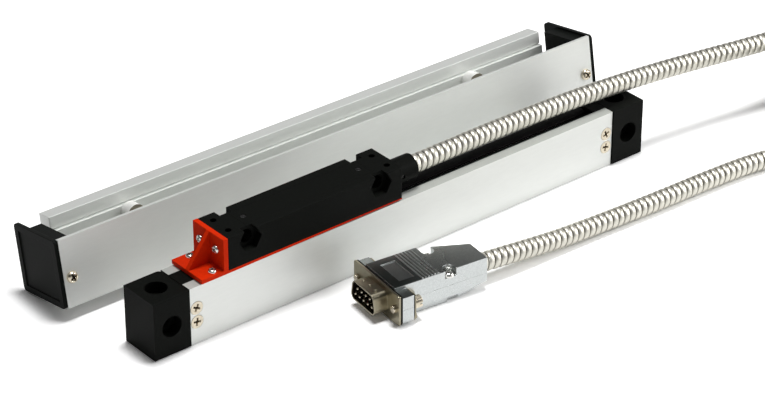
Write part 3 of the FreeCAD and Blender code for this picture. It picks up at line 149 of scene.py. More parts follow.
# Every finish. The roughness wanders by "spread" and the colour by "vary", over a grain of the
# given "scale", drawn out by "stretch" and "bump" mm high. "sheen" is how much a coat mirrors,
# and "shaded" is the darker colour of its painted shade, laid into recesses and onto some faces.
finishes = {
    "anodised": {"colour": (0.81, 0.825, 0.80), "metal": 0.66, "rough": 0.50, "spread": 0.02,
                 "vary": 0.012, "scale": 900, "stretch": (0.2, 1, 1), "bump": 0.0004,
                 # the anodised "shaded" colour is painted shade on the housing's upward faces
                 "shaded": (0.56, 0.58, 0.55)},
    "blackCoat": {"colour": (0.0036, 0.0042, 0.0034), "metal": 0.0, "rough": 0.50, "spread": 0.06,
                  "vary": 0.25, "scale": 1100, "stretch": (1, 1, 1), "bump": 0.004,
                  "sheen": 0.05},
    "capCoat": {"colour": (0.0042, 0.0052, 0.0044), "metal": 0.0, "rough": 0.48, "spread": 0.06,
                "vary": 0.20, "scale": 1300, "stretch": (1, 1, 1), "bump": 0.003,
                "sheen": 0.06},
    "redCoat": {"colour": (0.62, 0.024, 0.0020), "metal": 0.0, "rough": 0.44, "spread": 0.06,
                "vary": 0.05, "scale": 700, "stretch": (1, 1, 1), "bump": 0.003,
                "sheen": 0.03},
    "woundSteel": {"colour": (0.70, 0.68, 0.605), "metal": 0.90, "rough": 0.40, "spread": 0.05,
                   "vary": 0.08, "scale": 420, "stretch": (1, 1, 1), "bump": 0.002,
                   # the hose's "shaded" colour is painted shade in the gaps between wraps
                   "shaded": (0.12, 0.11, 0.09)},
    "castPlate": {"colour": (0.60, 0.625, 0.62), "metal": 1.0, "rough": 0.28, "spread": 0.04,
                  "vary": 0.09, "scale": 1700, "stretch": (1, 1, 1), "bump": 0.003,
                  # the cast plate's "shaded" colour is painted shade and dark reflection on the
                  # hood's top
                  "shaded": (0.07, 0.08, 0.075)},
    "tinPlate": {"colour": (0.33, 0.30, 0.22), "metal": 1.0, "rough": 0.30, "spread": 0.06,
                 "vary": 0.08, "scale": 300, "stretch": (1, 1, 1), "bump": 0.001},
    "screwPlate": {"colour": (0.70, 0.63, 0.50), "metal": 1.0, "rough": 0.26, "spread": 0.06,
                   "vary": 0.10, "scale": 500, "stretch": (1, 1, 1), "bump": 0.001,
                   # the screw plate's "shaded" colour is painted shade in the screws' cross
                   # recesses
                   "shaded": (0.11, 0.065, 0.04)},
    "brightScrew": {"colour": (0.80, 0.79, 0.75), "metal": 1.0, "rough": 0.22, "spread": 0.06,
                    "vary": 0.08, "scale": 500, "stretch": (1, 1, 1), "bump": 0.001,
                    # the bright screws' "shaded" colour is painted shade in their cross recesses
                    "shaded": (0.06, 0.05, 0.045)},
    "boltPlate": {"colour": (0.92, 0.92, 0.89), "metal": 0.30, "rough": 0.36, "spread": 0.05,
                  "vary": 0.06, "scale": 500, "stretch": (1, 1, 1), "bump": 0.001,
                  # the bolts' "shaded" colour is painted shade on their end faces
                  "shaded": (0.26, 0.235, 0.18)},
    "darkScrew": {"colour": (0.09, 0.09, 0.09), "metal": 1.0, "rough": 0.30, "spread": 0.06,
                  "vary": 0.15, "scale": 500, "stretch": (1, 1, 1), "bump": 0.001},
    "goldPin": {"colour": (0.58, 0.53, 0.42), "metal": 1.0, "rough": 0.22, "spread": 0.05,
                "vary": 0.05, "scale": 400, "stretch": (1, 1, 1), "bump": 0.0005},
    "insulatorBlack": {"colour": (0.005, 0.005, 0.005), "metal": 0.0, "rough": 0.45,
                       "spread": 0.05, "vary": 0.2, "scale": 900, "stretch": (1, 1, 1),
                       "bump": 0.002, "sheen": 0.05},
    "sealRubber": {"colour": (0.006, 0.006, 0.006), "metal": 0.0, "rough": 0.62, "spread": 0.06,
                   "vary": 0.3, "scale": 700, "stretch": (0.2, 1, 1), "bump": 0.004,
                   "sheen": 0.05},
    "machined": {"colour": (0.74, 0.75, 0.76), "metal": 1.0, "rough": 0.30, "spread": 0.06,
                 "vary": 0.06, "scale": 900, "stretch": (0.05, 3, 3), "bump": 0.002},
    "bearingSteel": {"colour": (0.66, 0.66, 0.67), "metal": 1.0, "rough": 0.16, "spread": 0.05,
                     "vary": 0.05, "scale": 600, "stretch": (1, 1, 1), "bump": 0.0005},
    "solderMask": {"colour": (0.012, 0.10, 0.035), "metal": 0.0, "rough": 0.28, "spread": 0.08,
                   "vary": 0.5, "scale": 260, "stretch": (1, 1, 1), "bump": 0.002},
}


# the broad noise that the roughness follows, and the part of the grain that the colour spans
broadNoise = {"scale": 28, "detail": 2.0}
grainSpan = (0.30, 0.70)


def addShade(tree, colour, deep):
    # mixes in the painted shade colour as far as the mesh's shade asks for it
    place = addNode(tree, "ShaderNodeAttribute", attribute_name="shade")
    mix = addNode(tree, "ShaderNodeMix", data_type="RGBA")
    tree.links.new(place.outputs["Fac"], mix.inputs["Factor"])
    tree.links.new(colour, mix.inputs["A"])
    mix.inputs["B"].default_value = (*deep, 1)
    return mix.outputs["Result"]


def makeFinish(name, look):
    material, tree, shader = newMaterial(name)
    grain = addNoise(tree, objectPattern(tree, look["stretch"]), look["scale"])
    broad = addNoise(tree, objectPattern(tree), **broadNoise)
    factors = (1 - look["vary"], 1 + look["vary"])
    stops = [(place, tint(look["colour"], by)) for place, by in zip(grainSpan, factors)]
    colour = addRamp(tree, grain, stops)
    if "shaded" in look:
        colour = addShade(tree, colour, look["shaded"])
    tree.links.new(colour, shader.inputs["Base Color"])
    rough, spread = look["rough"], look["spread"]
    tree.links.new(
        addRange(tree, broad, rough - spread, rough + spread), shader.inputs["Roughness"]
    )
    shader.inputs["Metallic"].default_value = look["metal"]
    shader.inputs["Specular IOR Level"].default_value = look.get("sheen", 0.5)
    addBump(tree, shader, grain, look["bump"] * mm)
    return material


materials = {name: makeFinish(name, look) for name, look in finishes.items()}


# clear glass with its graduation, dark lines a millimetre apart
opticGlass = {
    "bands": 314.0,
    "stops": [(0.42, (0.10, 0.11, 0.11)), (0.58, (0.82, 0.90, 0.88))],
    "rough": 0.06,
    "clear": 0.55,
    "ior": 1.5,
}


def makeOpticGlass(look):
    material, tree, shader = newMaterial("opticGlass")
    wave = addNode(tree, "ShaderNodeTexWave", wave_type="BANDS", bands_direction="X")
    wave.inputs["Scale"].default_value = look["bands"]
    tree.links.new(objectPattern(tree), wave.inputs["Vector"])
    lines = addRamp(tree, wave.outputs["Fac"], look["stops"])
    tree.links.new(lines, shader.inputs["Base Color"])
    shader.inputs["Roughness"].default_value = look["rough"]
    shader.inputs["Transmission Weight"].default_value = look["clear"]
    shader.inputs["IOR"].default_value = look["ior"]
    return material


materials["opticGlass"] = makeOpticGlass(opticGlass)
print("stage: finishes made")


# The armoured hose. Its route is drawn in millimetres: from the head, over the scale, into a
# coil past the edge of the view, and back along the table to the plug.

hose = {
    "diameter": 7.5,
    "pitch": 2.85,
    "length": 3.0,
    "exit": (0.4, 0.0, 30.6),
    "fromHead": [
        (0.4, 0.0, 30.6), (32, 0.1, 31.0), (64, 0.4, 30.7), (94, -0.3, 30.3), (122, -2.0, 29.6),
        (150, -5.0, 28.6), (178, -9.4, 27.9), (205, -12.6, 27.5), (231, -14.2, 27.4),
    ],
    "coilCentre": (245.0, -46.0),
    "radii": (30.0, 54.0),
    "levels": (18.95, 11.35, 3.75),
    "diveFrom": 27.2,
    "startAngle": 90.0,
    "diveTurn": 0.25,
    "layerTurns": 2.978,
    "dropTurn": 0.20,
    "pointsPerTurn": 16,
    "toPlug": [
        (217, -90.5, 3.75), (195, -77.0, 3.75), (176, -60.6, 3.75), (150, -48.4, 3.75),
        (122, -45.9, 3.75), (93, -45.2, 3.75), (67, -43.6, 3.75), (45, -42.7, 4.35),
        (27.5, -42.1, 5.95), (11.815, -41.210, 7.40), (-0.0868, -39.7053, 7.60),
    ],
    # across one wrap of the strip: how far along the pitch, and how far out from the axis
    "fineProfile": [(0.02, 3.28), (0.13, 3.28), (0.18, 3.50), (0.28, 3.68), (0.46, 3.75),
                    (0.70, 3.75), (0.88, 3.67), (0.97, 3.50)],
    "coarseProfile": [(0.02, 3.28), (0.13, 3.30), (0.26, 3.68), (0.86, 3.70)],
    # painted shade: the gap between wraps is painted dark up to the first radius, and the painted
    # shade fades over the second length
    "gapShade": (3.32, 0.20),
    "fineRound": 24,
    "coarseRound": 12,
    "curveSteps": 14,
    # in metres: the x past which the wraps are coarse, how close corners are merged, and the
    # length of an edge that is dropped
    "coarseFrom": 0.196,
    "merge": 2e-6,
    "crumb": 1e-6,
}


def coilPoints(spec):
    # clockwise from above: down into the top layer, out, down, in, down and out again
    cx, cy = spec["coilCentre"]
    inner, outer = spec["radii"]
    top, middle, low = spec["levels"]
    layer, drop = spec["layerTurns"], spec["dropTurn"]
    stages = [
        (spec["diveTurn"], inner, inner, spec["diveFrom"], top),
        (layer, inner, outer, top, top),
        (drop, outer, outer, top, middle),
        (layer, outer, inner, middle, middle),
        (drop, inner, inner, middle, low),
        (layer, inner, outer, low, low),
    ]
    total = sum(stage[0] for stage in stages)
    steps = round(total * spec["pointsPerTurn"])
    swell = 1 / math.cos(math.pi / spec["pointsPerTurn"])
    points = []
    for k in range(steps):
        turn = total * (k + 0.5) / steps
        angle = math.radians(spec["startAngle"] - 360 * turn)
        for span, r0, r1, z0, z1 in stages:
            if turn <= span:
                break
            turn -= span
        share = min(1.0, turn / span)
        ease = share * share * (3 - 2 * share)
        radius = (r0 + (r1 - r0) * share) * swell
        level = z0 + (z1 - z0) * ease
        points.append((cx + radius * math.cos(angle), cy + radius * math.sin(angle), level))
    return points


def routeLine(name, points, steps):
    # points read from the smooth spline through the route's control points
    curve = bpy.data.curves.new(name, "CURVE")
    curve.dimensions = "3D"
    curve.resolution_u = steps
    spline = curve.splines.new("NURBS")
    spline.points.add(len(points) - 1)
    for place, point in zip(spline.points, points):
        place.co = (*[value * mm for value in point], 1.0)
    spline.order_u = 3
    spline.use_endpoint_u = True
    holder = bpy.data.objects.new(name, curve)
    scene.collection.objects.link(holder)
    bpy.context.view_layer.update()
    line = bpy.data.meshes.new_from_object(holder)
    found = np.array([vertex.co[:] for vertex in line.vertices])
    bpy.data.objects.remove(holder)
    bpy.data.curves.remove(curve)
    bpy.data.meshes.remove(line)
    return found


def lineFrames(points):
    # distance along, and a frame that doesn't twist, at every point of a line
    ways = np.gradient(points, axis=0)
    ways /= np.linalg.norm(ways, axis=1)[:, None]
    side = np.cross(ways[0], (0, 0, 1.0))
    side /= np.linalg.norm(side)
    sides = [side]
    for way in ways[1:]:
        side = side - way * side.dot(way)
        side /= np.linalg.norm(side)
        sides.append(side)
    sides = np.array(sides)
    steps = np.linalg.norm(np.diff(points, axis=0), axis=1)
    along = np.concatenate([[0], np.cumsum(steps)])
    return along, ways, sides


def woundStrip(name, points, spec, spans):
    # a helical strip round the line; spans are (start, end, profile, segments) along it
    along, ways, sides = lineFrames(points)
    ups = np.cross(sides, ways)
    pitch = spec["pitch"] * mm
    low, rise = spec["gapShade"]
    vertices, faces, paintedGapShade = [], [], []
    for start, end, profile, segments in spans:
        shape = np.array(profile)
        count = len(profile)
        first = math.floor(start / pitch)
        wraps = math.ceil(end / pitch) - first
        station = np.arange(wraps * segments + segments)
        reach = (first + station[:, None] / segments - 1 + shape[None, :, 0]) * pitch
        reach = np.clip(reach, start, end)
        angle = 2 * math.pi * (station % segments) / segments
        angle = np.repeat(angle[:, None], count, axis=1)
        centre = [np.interp(reach, along, points[:, k]) for k in range(3)]
        side = [np.interp(reach, along, sides[:, k]) for k in range(3)]
        up = [np.interp(reach, along, ups[:, k]) for k in range(3)]
        out = shape[None, :, 1] * mm * np.ones_like(reach)
        place = [
            centre[k] + out * (np.cos(angle) * side[k] + np.sin(angle) * up[k]) for k in range(3)
        ]
        grid = np.stack(place, axis=-1).reshape(-1, 3)
        base = sum(len(block) for block in vertices)
        vertices.append(grid)
        # painted shade, darkest deep in the gaps between wraps
        paintedGapShade.append(np.clip(1 - (out.ravel() / mm - low) / rise, 0, 1))
        q = np.arange(wraps * segments - 1)[:, None]
        i = np.arange(count)[None, :]
        here = base + q * count + i
        beside = here + count
        last = i == count - 1
        onward = np.where(last, base + (q + segments) * count, here + 1)
        ahead = np.where(last, base + (q + 1 + segments) * count, beside + 1)
        block = np.stack([here, beside, ahead, onward], axis=-1).reshape(-1, 4)
        faces.append(block[block.max(axis=1) < base + len(grid)])
    mesh = bpy.data.meshes.new(name)
    mesh.from_pydata(np.concatenate(vertices).tolist(), [], np.concatenate(faces).tolist())
    mesh.attributes.new("shade", "FLOAT", "POINT").data.foreach_set(
        "value", np.concatenate(paintedGapShade)
    )
    tidy = bmesh.new()
    tidy.from_mesh(mesh)
    bmesh.ops.remove_doubles(tidy, verts=tidy.verts, dist=spec["merge"])
    bmesh.ops.dissolve_degenerate(tidy, dist=spec["crumb"], edges=tidy.edges)
    rims = [edge for edge in tidy.edges if edge.is_boundary]
    bmesh.ops.holes_fill(tidy, edges=rims, sides=0)
    bmesh.ops.recalc_face_normals(tidy, faces=tidy.faces)
    for face in tidy.faces:
        face.smooth = True
    tidy.to_mesh(mesh)
    tidy.free()
    piece = bpy.data.objects.new(name, mesh)
    scene.collection.objects.link(piece)
    return piece


def makeHose(spec):
    route = spec["fromHead"] + coilPoints(spec) + spec["toPlug"]
    line = routeLine("hoseLine", route, spec["curveSteps"])
    along = lineFrames(line)[0]
    total = along[-1]
    print(f"stage: hose line {total:.3f} m long")
    beyond = np.where(line[:, 0] > spec["coarseFrom"])[0]
    leave, enter = along[beyond[0]], along[beyond[-1]]
    fine, coarse = spec["fineProfile"], spec["coarseProfile"]
    spans = [
        (0.0, leave, fine, spec["fineRound"]),
        (leave, enter, coarse, spec["coarseRound"]),
        (enter, total, fine, spec["fineRound"]),
    ]
    piece = woundStrip("armoured_hose", line, spec, spans)
    piece.data.materials.append(materials["woundSteel"])
    triangles = sum(len(face.vertices) - 2 for face in piece.data.polygons)
    print(f"stage: hose has {triangles} triangles")
    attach(piece, "reader_head_unit")
    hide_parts("hose_from_head", "hose_coil", "hose_to_plug")
    return piece, line


hosePiece, hosePath = makeHose(hose)


# Machined and cast pieces: the solid's own shape with its edges broken

edgeRule = {
    # how close corners are merged, in metres; the degrees under which faces are one flat, and
    # over which their edge is broken; how far the large faces rule the normals
    "merge": 1e-6, "flat": 1.0, "sharp": 32, "weight": 80,
}

edgeBreaks = {
    # node: (finish, edge width in mm, segments)
    "scale_housing": ("anodised", 0.12, 2),
    "end_block_left": ("blackCoat", 0.50, 3),
    "end_block_right": ("blackCoat", 0.50, 3),
    "reader_head": ("blackCoat", 0.16, 2),
    "cable_boss": ("blackCoat", 0.20, 2),
    "head_lid": ("blackCoat", 0.08, 2),
    "transport_bracket": ("redCoat", 0.25, 3),
    "lid_screws": ("darkScrew", 0.05, 2),
    "boss_set_screw": ("darkScrew", 0.05, 1),
    "guard_cover": ("anodised", 0.12, 2),
    "guard_rail": ("anodised", 0.45, 3),
    "guard_cap_left": ("capCoat", 0.35, 3),
    "guard_cap_right": ("capCoat", 0.35, 3),
    "rail_bolts": ("boltPlate", 0.20, 2),
    "plug_shell": ("tinPlate", 0.12, 2),
    "plug_insulator": ("insulatorBlack", 0.08, 1),
    "plug_hood_upper": ("castPlate", 0.28, 3),
    "plug_hood_lower": ("castPlate", 0.22, 3),
    "hose_ferrule": ("screwPlate", 0.10, 1),
    "jack_clips": ("tinPlate", 0.10, 1),
    "jackscrew_near": ("screwPlate", 0.15, 2),
    "jackscrew_far": ("screwPlate", 0.15, 2),
    "scan_carriage": ("machined", 0.08, 1),
    "carriage_arm": ("machined", 0.05, 1),
    "bearing_pins": ("bearingSteel", 0.05, 1),
}

plainFinishes = {
    "end_gasket_left": "sealRubber",
    "end_gasket_right": "sealRubber",
    "lip_seal_front": "sealRubber",
    "lip_seal_rear": "sealRubber",
    "glass_bed": "sealRubber",
    "glass_scale": "opticGlass",
    "index_grating": "opticGlass",
    "head_board": "solderMask",
    "detector_board": "solderMask",
    "led_board": "solderMask",
}

# The plug's place on the table, how much painted shade its top gets at distances along it, the
# height of its sunk label field, which gets less painted shade by the share given, and the height
# of its ribs, over which no shade is painted so that they show as painted highlight lines.
# Then the guard's place.
plug = {
    "origin": (-35.5, -31.2, 6.6),
    "yaw": -7.2,
    "topShade": ((8, 14, 24, 42), (1.0, 0.8, 0.4, 0.0)),
    "field": (12.9, 0.35),
    "ribs": 13.3,
}
guard = {"origin": (-127.27, 60.43, 0), "yaw": -0.906, "lean": -9.95}

bodyOf = {node: body for body, members in frame["record"]["behaviour"]["bodies"].items()
          for node in members}


def brokenEdges(node, width, segments):
    # a copy of the solid, merged, with its sharp edges bevelled and its faces smooth
    source = nodes[node]
    mesh = source.data.copy()
    mesh.transform(source.matrix_world)
    work = bmesh.new()
    work.from_mesh(mesh)
    bmesh.ops.remove_doubles(work, verts=work.verts, dist=edgeRule["merge"])
    bmesh.ops.dissolve_limit(
        work, angle_limit=math.radians(edgeRule["flat"]), verts=work.verts, edges=work.edges
    )
    for face in work.faces:
        face.smooth = True
    work.to_mesh(mesh)
    work.free()
    piece = bpy.data.objects.new(node + "_finished", mesh)
    scene.collection.objects.link(piece)
    bevel = piece.modifiers.new("edges", "BEVEL")
    bevel.width = width * mm
    bevel.segments = segments
    bevel.limit_method = "ANGLE"
    bevel.angle_limit = math.radians(edgeRule["sharp"])
    bevel.use_clamp_overlap = True
    level = piece.modifiers.new("normals", "WEIGHTED_NORMAL")
    level.weight = edgeRule["weight"]
    bpy.context.view_layer.update()
    seen = piece.evaluated_get(bpy.context.evaluated_depsgraph_get())
    done = bpy.data.meshes.new_from_object(seen)
    piece.modifiers.clear()
    piece.data = done
    done.materials.clear()
    return piece


# the least share of a normal that points a given way, for a face that looks that way
facing = 0.85


def shadeFaces(piece, amount):
    # the piece's painted shade, from a rule that is given a face's normal and a corner's place in
    # mm
    mesh = piece.data
    amounts = np.zeros(len(mesh.loops))
    for face in mesh.polygons:
        for corner in face.loop_indices:
            spot = mesh.vertices[mesh.loops[corner].vertex_index].co / mm
            amounts[corner] = amount(face.normal, spot)
    mesh.attributes.new("shade", "FLOAT", "CORNER").data.foreach_set("value", amounts)


def paintedTopShade(normal, spot):
    # painted shade and dark reflection: the hood's flat top is painted darker than its sides, most
    # of all towards the mouth; less on the sunk label field, and none on the rib tops, which then
    # stand out as painted highlight lines
    if normal.z < facing or spot.z > plug["ribs"]:
        return 0.0
    turn = Matrix.Rotation(math.radians(-plug["yaw"]), 3, "Z")
    along = (turn @ (spot - Vector(plug["origin"]))).x
    height, share = plug["field"]
    dark = np.interp(along, *plug["topShade"])
    return dark * (1 - share) if spot.z < height else dark


def paintedLipShade(normal, spot):
    # painted shade: the housing's upward faces are painted darker than its walls
    return 1.0 if normal.z > facing else 0.0


def paintedBoltEndShade(normal, spot):
    # painted shade: the bolts' heads are painted darker on their end faces, so they are bright on
    # their round sides only
    return 1.0 if normal.y < -facing else 0.0


pieces = {}
for node, (finish, width, segments) in edgeBreaks.items():
    piece = brokenEdges(node, width, segments)
    piece.data.materials.append(materials[finish])
    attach(piece, bodyOf[node])
    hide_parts(node)
    pieces[node] = piece
# painted shade on the hood halves' tops, with painted highlight lines on the rib tops
for node in ("plug_hood_upper", "plug_hood_lower"):
    shadeFaces(pieces[node], paintedTopShade)
# painted shade on the rail bolts' end faces
shadeFaces(pieces["rail_bolts"], paintedBoltEndShade)
# painted shade on the housing's upward faces
shadeFaces(pieces["scale_housing"], paintedLipShade)
for node, finish in plainFinishes.items():
    mesh = nodes[node].data
    mesh.materials.clear()
    mesh.materials.append(materials[finish])
print("stage: solids finished")


# Screws, contacts and ball bearings: one turned master each, set out by node trees.
# Lengths in millimetres, places in the frame named.

frames = {
    "scale": Matrix.Identity(4),
    "plug": Matrix.Translation(Vector(plug["origin"]) * mm)
    @ Matrix.Rotation(math.radians(plug["yaw"]), 4, "Z"),
    "guard": Matrix.Translation(Vector(guard["origin"]) * mm)
    @ Matrix.Rotation(math.radians(guard["yaw"]), 4, "Z")
    @ Matrix.Rotation(math.radians(guard["lean"]), 4, "X"),
}

screws = {
    "wall_screws": {
        "finish": "screwPlate", "frame": "scale", "seed": 3,
        "head": 2.60, "tall": 0.0, "shank": 1.40, "long": 5.3,
        "places": [((x, 8.5 * way, z), (0, way, 0))
                   for x in (-99, 99) for way in (-1, 1) for z in (8.9, 14.7)],
    },
    "bracket_screws": {
        "finish": "brightScrew", "frame": "scale", "seed": 5,
        "head": 1.65, "tall": 1.2, "shank": 1.0, "long": 1.6,
        "places": [((-90.5, y, 25.6), (0, 0, 1)) for y in (-6.65, 6.65)]
        + [((-87.0, y, 32.7), (-1, 0, 0)) for y in (-4.65, 4.65)],
    },
    "cap_screws": {
        "finish": "screwPlate", "frame": "guard", "seed": 8,
        "head": 2.3, "tall": 1.7, "shank": 1.05, "long": 5.4,
        "places": [((x, -27.8, 11.5), (0, -1, 0)) for x in (5.1, 252.2)],
    },
    "hood_screws": {
        "finish": "brightScrew", "frame": "plug", "seed": 2,
        "head": 2.1, "tall": 1.5, "shank": 1.0, "long": 6.9,
        "places": [((25.7, y, 3.4), (0, 0, 1)) for y in (-8.4, 5.8)],
    },
}

# the cross of a screw head, in shares of the head's radius, and of its height if it is domed; the
# cross also gets painted shade
cross = {
    "reach": 0.60, "half": 0.15, "soft": 0.10, "deepFlat": 0.42, "deepDomed": 0.75,
}
# a screw's mesh: the rings over its head, how far the dome falls at its rim (1 is down to the
# seat), the rim of a flat head in mm, and the corners round it
screwMesh = {"rings": 14, "fall": 0.985, "rim": 0.12, "around": 56}

contacts = {
    "radius": 0.49, "tip": -5.7, "tail": 7.5, "pitch": 2.77, "rowGap": 2.84,
    "upper": 4, "lower": 5, "noseFrom": 0.25, "noseRings": 5, "around": 20,
}

bearings = {
    "nodes": [f"guide_bearing_{k}" for k in range(1, 6)],
    "outer": 2.5, "outerRace": 2.02, "innerRace": 1.48, "bore": 1.03, "wide": 2.0,
    "edge": 0.12, "groove": 0.14, "grooveHalf": 0.42, "ball": 0.38, "balls": 9,
    "ballPole": 0.35, "ballRings": 8, "ballAround": 16, "around": 48,
}

# degrees between faces from which an edge of a turned piece is sharp
turnedSharp = 42


def turnedMesh(name, rings, segments, press=None):
    # a closed solid turned about Z from (radius, height) rings, top to bottom, with painted shade
    # where press asks for it
    turn = 2 * math.pi * np.arange(segments) / segments
    vertices = [(0.0, 0.0, rings[0][1] - (press(0, 0)[0] if press else 0))]
    # painted shade where press asks for it, kept as the mesh's shade
    shadow = [1.0 if press else 0.0]
    for radius, height in rings:
        for angle in turn:
            x, y = radius * math.cos(angle), radius * math.sin(angle)
            drop, dark = press(x, y) if press and height >= 0 else (0, 0)
            vertices.append((x, y, height - drop))
            shadow.append(dark)
    vertices.append((0.0, 0.0, rings[-1][1]))
    shadow.append(0.0)
    faces = []
    for k in range(segments):
        onward = (k + 1) % segments
        faces.append((0, 1 + k, 1 + onward))
        for row in range(len(rings) - 1):
            upper, lower = 1 + row * segments, 1 + (row + 1) * segments
            faces.append((upper + k, lower + k, lower + onward, upper + onward))
        last = 1 + (len(rings) - 1) * segments
        faces.append((len(vertices) - 1, last + onward, last + k))
    mesh = bpy.data.meshes.new(name)
    places = (np.array(vertices) * mm).tolist()
    mesh.from_pydata(places, [], faces)
    mesh.attributes.new("shade", "FLOAT", "POINT").data.foreach_set("value", shadow)
    holder = bpy.data.objects.new(name, mesh)
    scene.collection.objects.link(holder)
    return holder


def screwMaster(name, spec):
    # a domed or flat cross-head screw, its seat at z = 0, with painted shade in its cross
    head, tall, shank = spec["head"], spec["tall"], spec["shank"]
    rings = []
    for k in range(1, screwMesh["rings"] + 1):
        share = k / screwMesh["rings"]
        rise = math.sqrt(1 - (screwMesh["fall"] * share) ** 4) if tall else 1.0
        rings.append((head * share, tall * rise))
    if tall:
        rings += [(head, 0.0), (shank, 0.0)]
    else:
        rim = screwMesh["rim"]
        rings += [(head, -rim), (shank, -rim - head + shank)]
    rings.append((shank, -spec["long"]))
    reach, half, soft = (cross[key] * head for key in ("reach", "half", "soft"))
    deep = cross["deepDomed"] * tall if tall else cross["deepFlat"] * head

    # the cross's depth, and the painted shade laid into it
    def press(x, y):
        x, y = abs(x), abs(y)
        inside = max(min(reach - x, half - y), min(reach - y, half - x))
        share = min(1.0, max(0.0, inside / soft))
        return deep * share, share

    return turnedMesh(name, rings, screwMesh["around"], press)


def newTree(name, sockets):
    # a geometry tree with its named inputs, ending in Realize Instances and Set Material
    tree = bpy.data.node_groups.new(name, "GeometryNodeTree")
    tree.interface.new_socket("Geometry", in_out="INPUT", socket_type="NodeSocketGeometry")
    for label, kind in sockets:
        tree.interface.new_socket(label, in_out="INPUT", socket_type="NodeSocket" + kind)
    tree.interface.new_socket("Finish", in_out="INPUT", socket_type="NodeSocketMaterial")
    tree.interface.new_socket("Geometry", in_out="OUTPUT", socket_type="NodeSocketGeometry")
    start = tree.nodes.new("NodeGroupInput")
    real = tree.nodes.new("GeometryNodeRealizeInstances")
    finish = tree.nodes.new("GeometryNodeSetMaterial")
    end = tree.nodes.new("NodeGroupOutput")
    tree.links.new(real.outputs[0], finish.inputs["Geometry"])
    tree.links.new(start.outputs["Finish"], finish.inputs["Material"])
    tree.links.new(finish.outputs[0], end.inputs[0])
    return tree, start, real


def addMaths(tree, operation, first, second):
    node = tree.nodes.new("ShaderNodeMath")
    node.operation = operation
    for socket, value in zip(node.inputs, (first, second)):
        if isinstance(value, (int, float)):
            socket.default_value = value
        else:
            tree.links.new(value, socket)
    return node.outputs[0]


def addInstances(tree, start, points, label, rotation=None):
    source = tree.nodes.new("GeometryNodeObjectInfo")
    tree.links.new(start.outputs[label], source.inputs["Object"])
    placed = tree.nodes.new("GeometryNodeInstanceOnPoints")
    tree.links.new(points, placed.inputs["Points"])
    tree.links.new(source.outputs["Geometry"], placed.inputs["Instance"])
    if rotation:
        tree.links.new(rotation, placed.inputs["Rotation"])
    return placed


def screwTree():
    # a screw on every point, looking along the point's way, turned at random
    sockets = [("Screw", "Object"), ("Head Size", "Float"), ("Turn Seed", "Int")]
    tree, start, real = newTree("screwsOnPoints", sockets)
    way = tree.nodes.new("GeometryNodeInputNamedAttribute")
    way.data_type = "FLOAT_VECTOR"
    way.inputs["Name"].default_value = "way"
    look = tree.nodes.new("FunctionNodeAlignRotationToVector")
    look.axis = "Z"
    tree.links.new(way.outputs["Attribute"], look.inputs["Vector"])
    chance = tree.nodes.new("FunctionNodeRandomValue")
    chance.data_type = "FLOAT"
    angle = next(s for s in chance.outputs if s.type == "VALUE" and s.enabled)
    limits = [s for s in chance.inputs if s.type == "VALUE" and s.enabled]
    limits[0].default_value = 0.0
    limits[1].default_value = math.pi / 2
    tree.links.new(start.outputs["Turn Seed"], chance.inputs["Seed"])
    spin = tree.nodes.new("FunctionNodeAxisAngleToRotation")
    spin.inputs["Axis"].default_value = (0, 0, 1)
    tree.links.new(angle, spin.inputs["Angle"])
    turn = tree.nodes.new("FunctionNodeRotateRotation")
    turn.rotation_space = "LOCAL"
    tree.links.new(look.outputs[0], turn.inputs["Rotation"])
    tree.links.new(spin.outputs[0], turn.inputs["Rotate By"])
    placed = addInstances(tree, start, start.outputs["Geometry"], "Screw", turn.outputs[0])
    tree.links.new(start.outputs["Head Size"], placed.inputs["Scale"])
    tree.links.new(placed.outputs[0], real.inputs[0])
    return tree


def contactTree():
    # two rows of pins across the mouth
    sockets = [("Pin", "Object"), ("Pitch", "Float"), ("Row Gap", "Float"),
               ("Upper Pins", "Int"), ("Lower Pins", "Int")]
    tree, start, real = newTree("contactRows", sockets)
    rows = tree.nodes.new("GeometryNodeJoinGeometry")
    for label, side in (("Lower Pins", -0.5), ("Upper Pins", 0.5)):
        spaces = addMaths(tree, "SUBTRACT", start.outputs[label], 1)
        half = addMaths(tree, "MULTIPLY", spaces, -0.5)
        first = tree.nodes.new("ShaderNodeCombineXYZ")
        tree.links.new(addMaths(tree, "MULTIPLY", half, start.outputs["Pitch"]), first.inputs["Y"])
        level = addMaths(tree, "MULTIPLY", start.outputs["Row Gap"], side)
        tree.links.new(level, first.inputs["Z"])
        step = tree.nodes.new("ShaderNodeCombineXYZ")
        tree.links.new(start.outputs["Pitch"], step.inputs["Y"])
        row = tree.nodes.new("GeometryNodeMeshLine")
        row.mode = "OFFSET"
        tree.links.new(start.outputs[label], row.inputs["Count"])
        tree.links.new(first.outputs[0], row.inputs["Start Location"])
        tree.links.new(step.outputs[0], row.inputs["Offset"])
        tree.links.new(row.outputs[0], rows.inputs[0])
    placed = addInstances(tree, start, rows.outputs[0], "Pin")
    tree.links.new(placed.outputs[0], real.inputs[0])
    return tree


def bearingTree():
    # the two rings come in as the geometry, and the balls stand in a circle between them
    sockets = [("Ball", "Object"), ("Balls", "Int"), ("Circle Radius", "Float")]
    tree, start, real = newTree("ballRing", sockets)
    circle = tree.nodes.new("GeometryNodeMeshCircle")
    tree.links.new(start.outputs["Balls"], circle.inputs["Vertices"])
    tree.links.new(start.outputs["Circle Radius"], circle.inputs["Radius"])
    placed = addInstances(tree, start, circle.outputs[0], "Ball")
    joined = tree.nodes.new("GeometryNodeJoinGeometry")
    tree.links.new(placed.outputs[0], joined.inputs[0])
    tree.links.new(start.outputs["Geometry"], joined.inputs[0])
    tree.links.new(joined.outputs[0], real.inputs[0])
    return tree


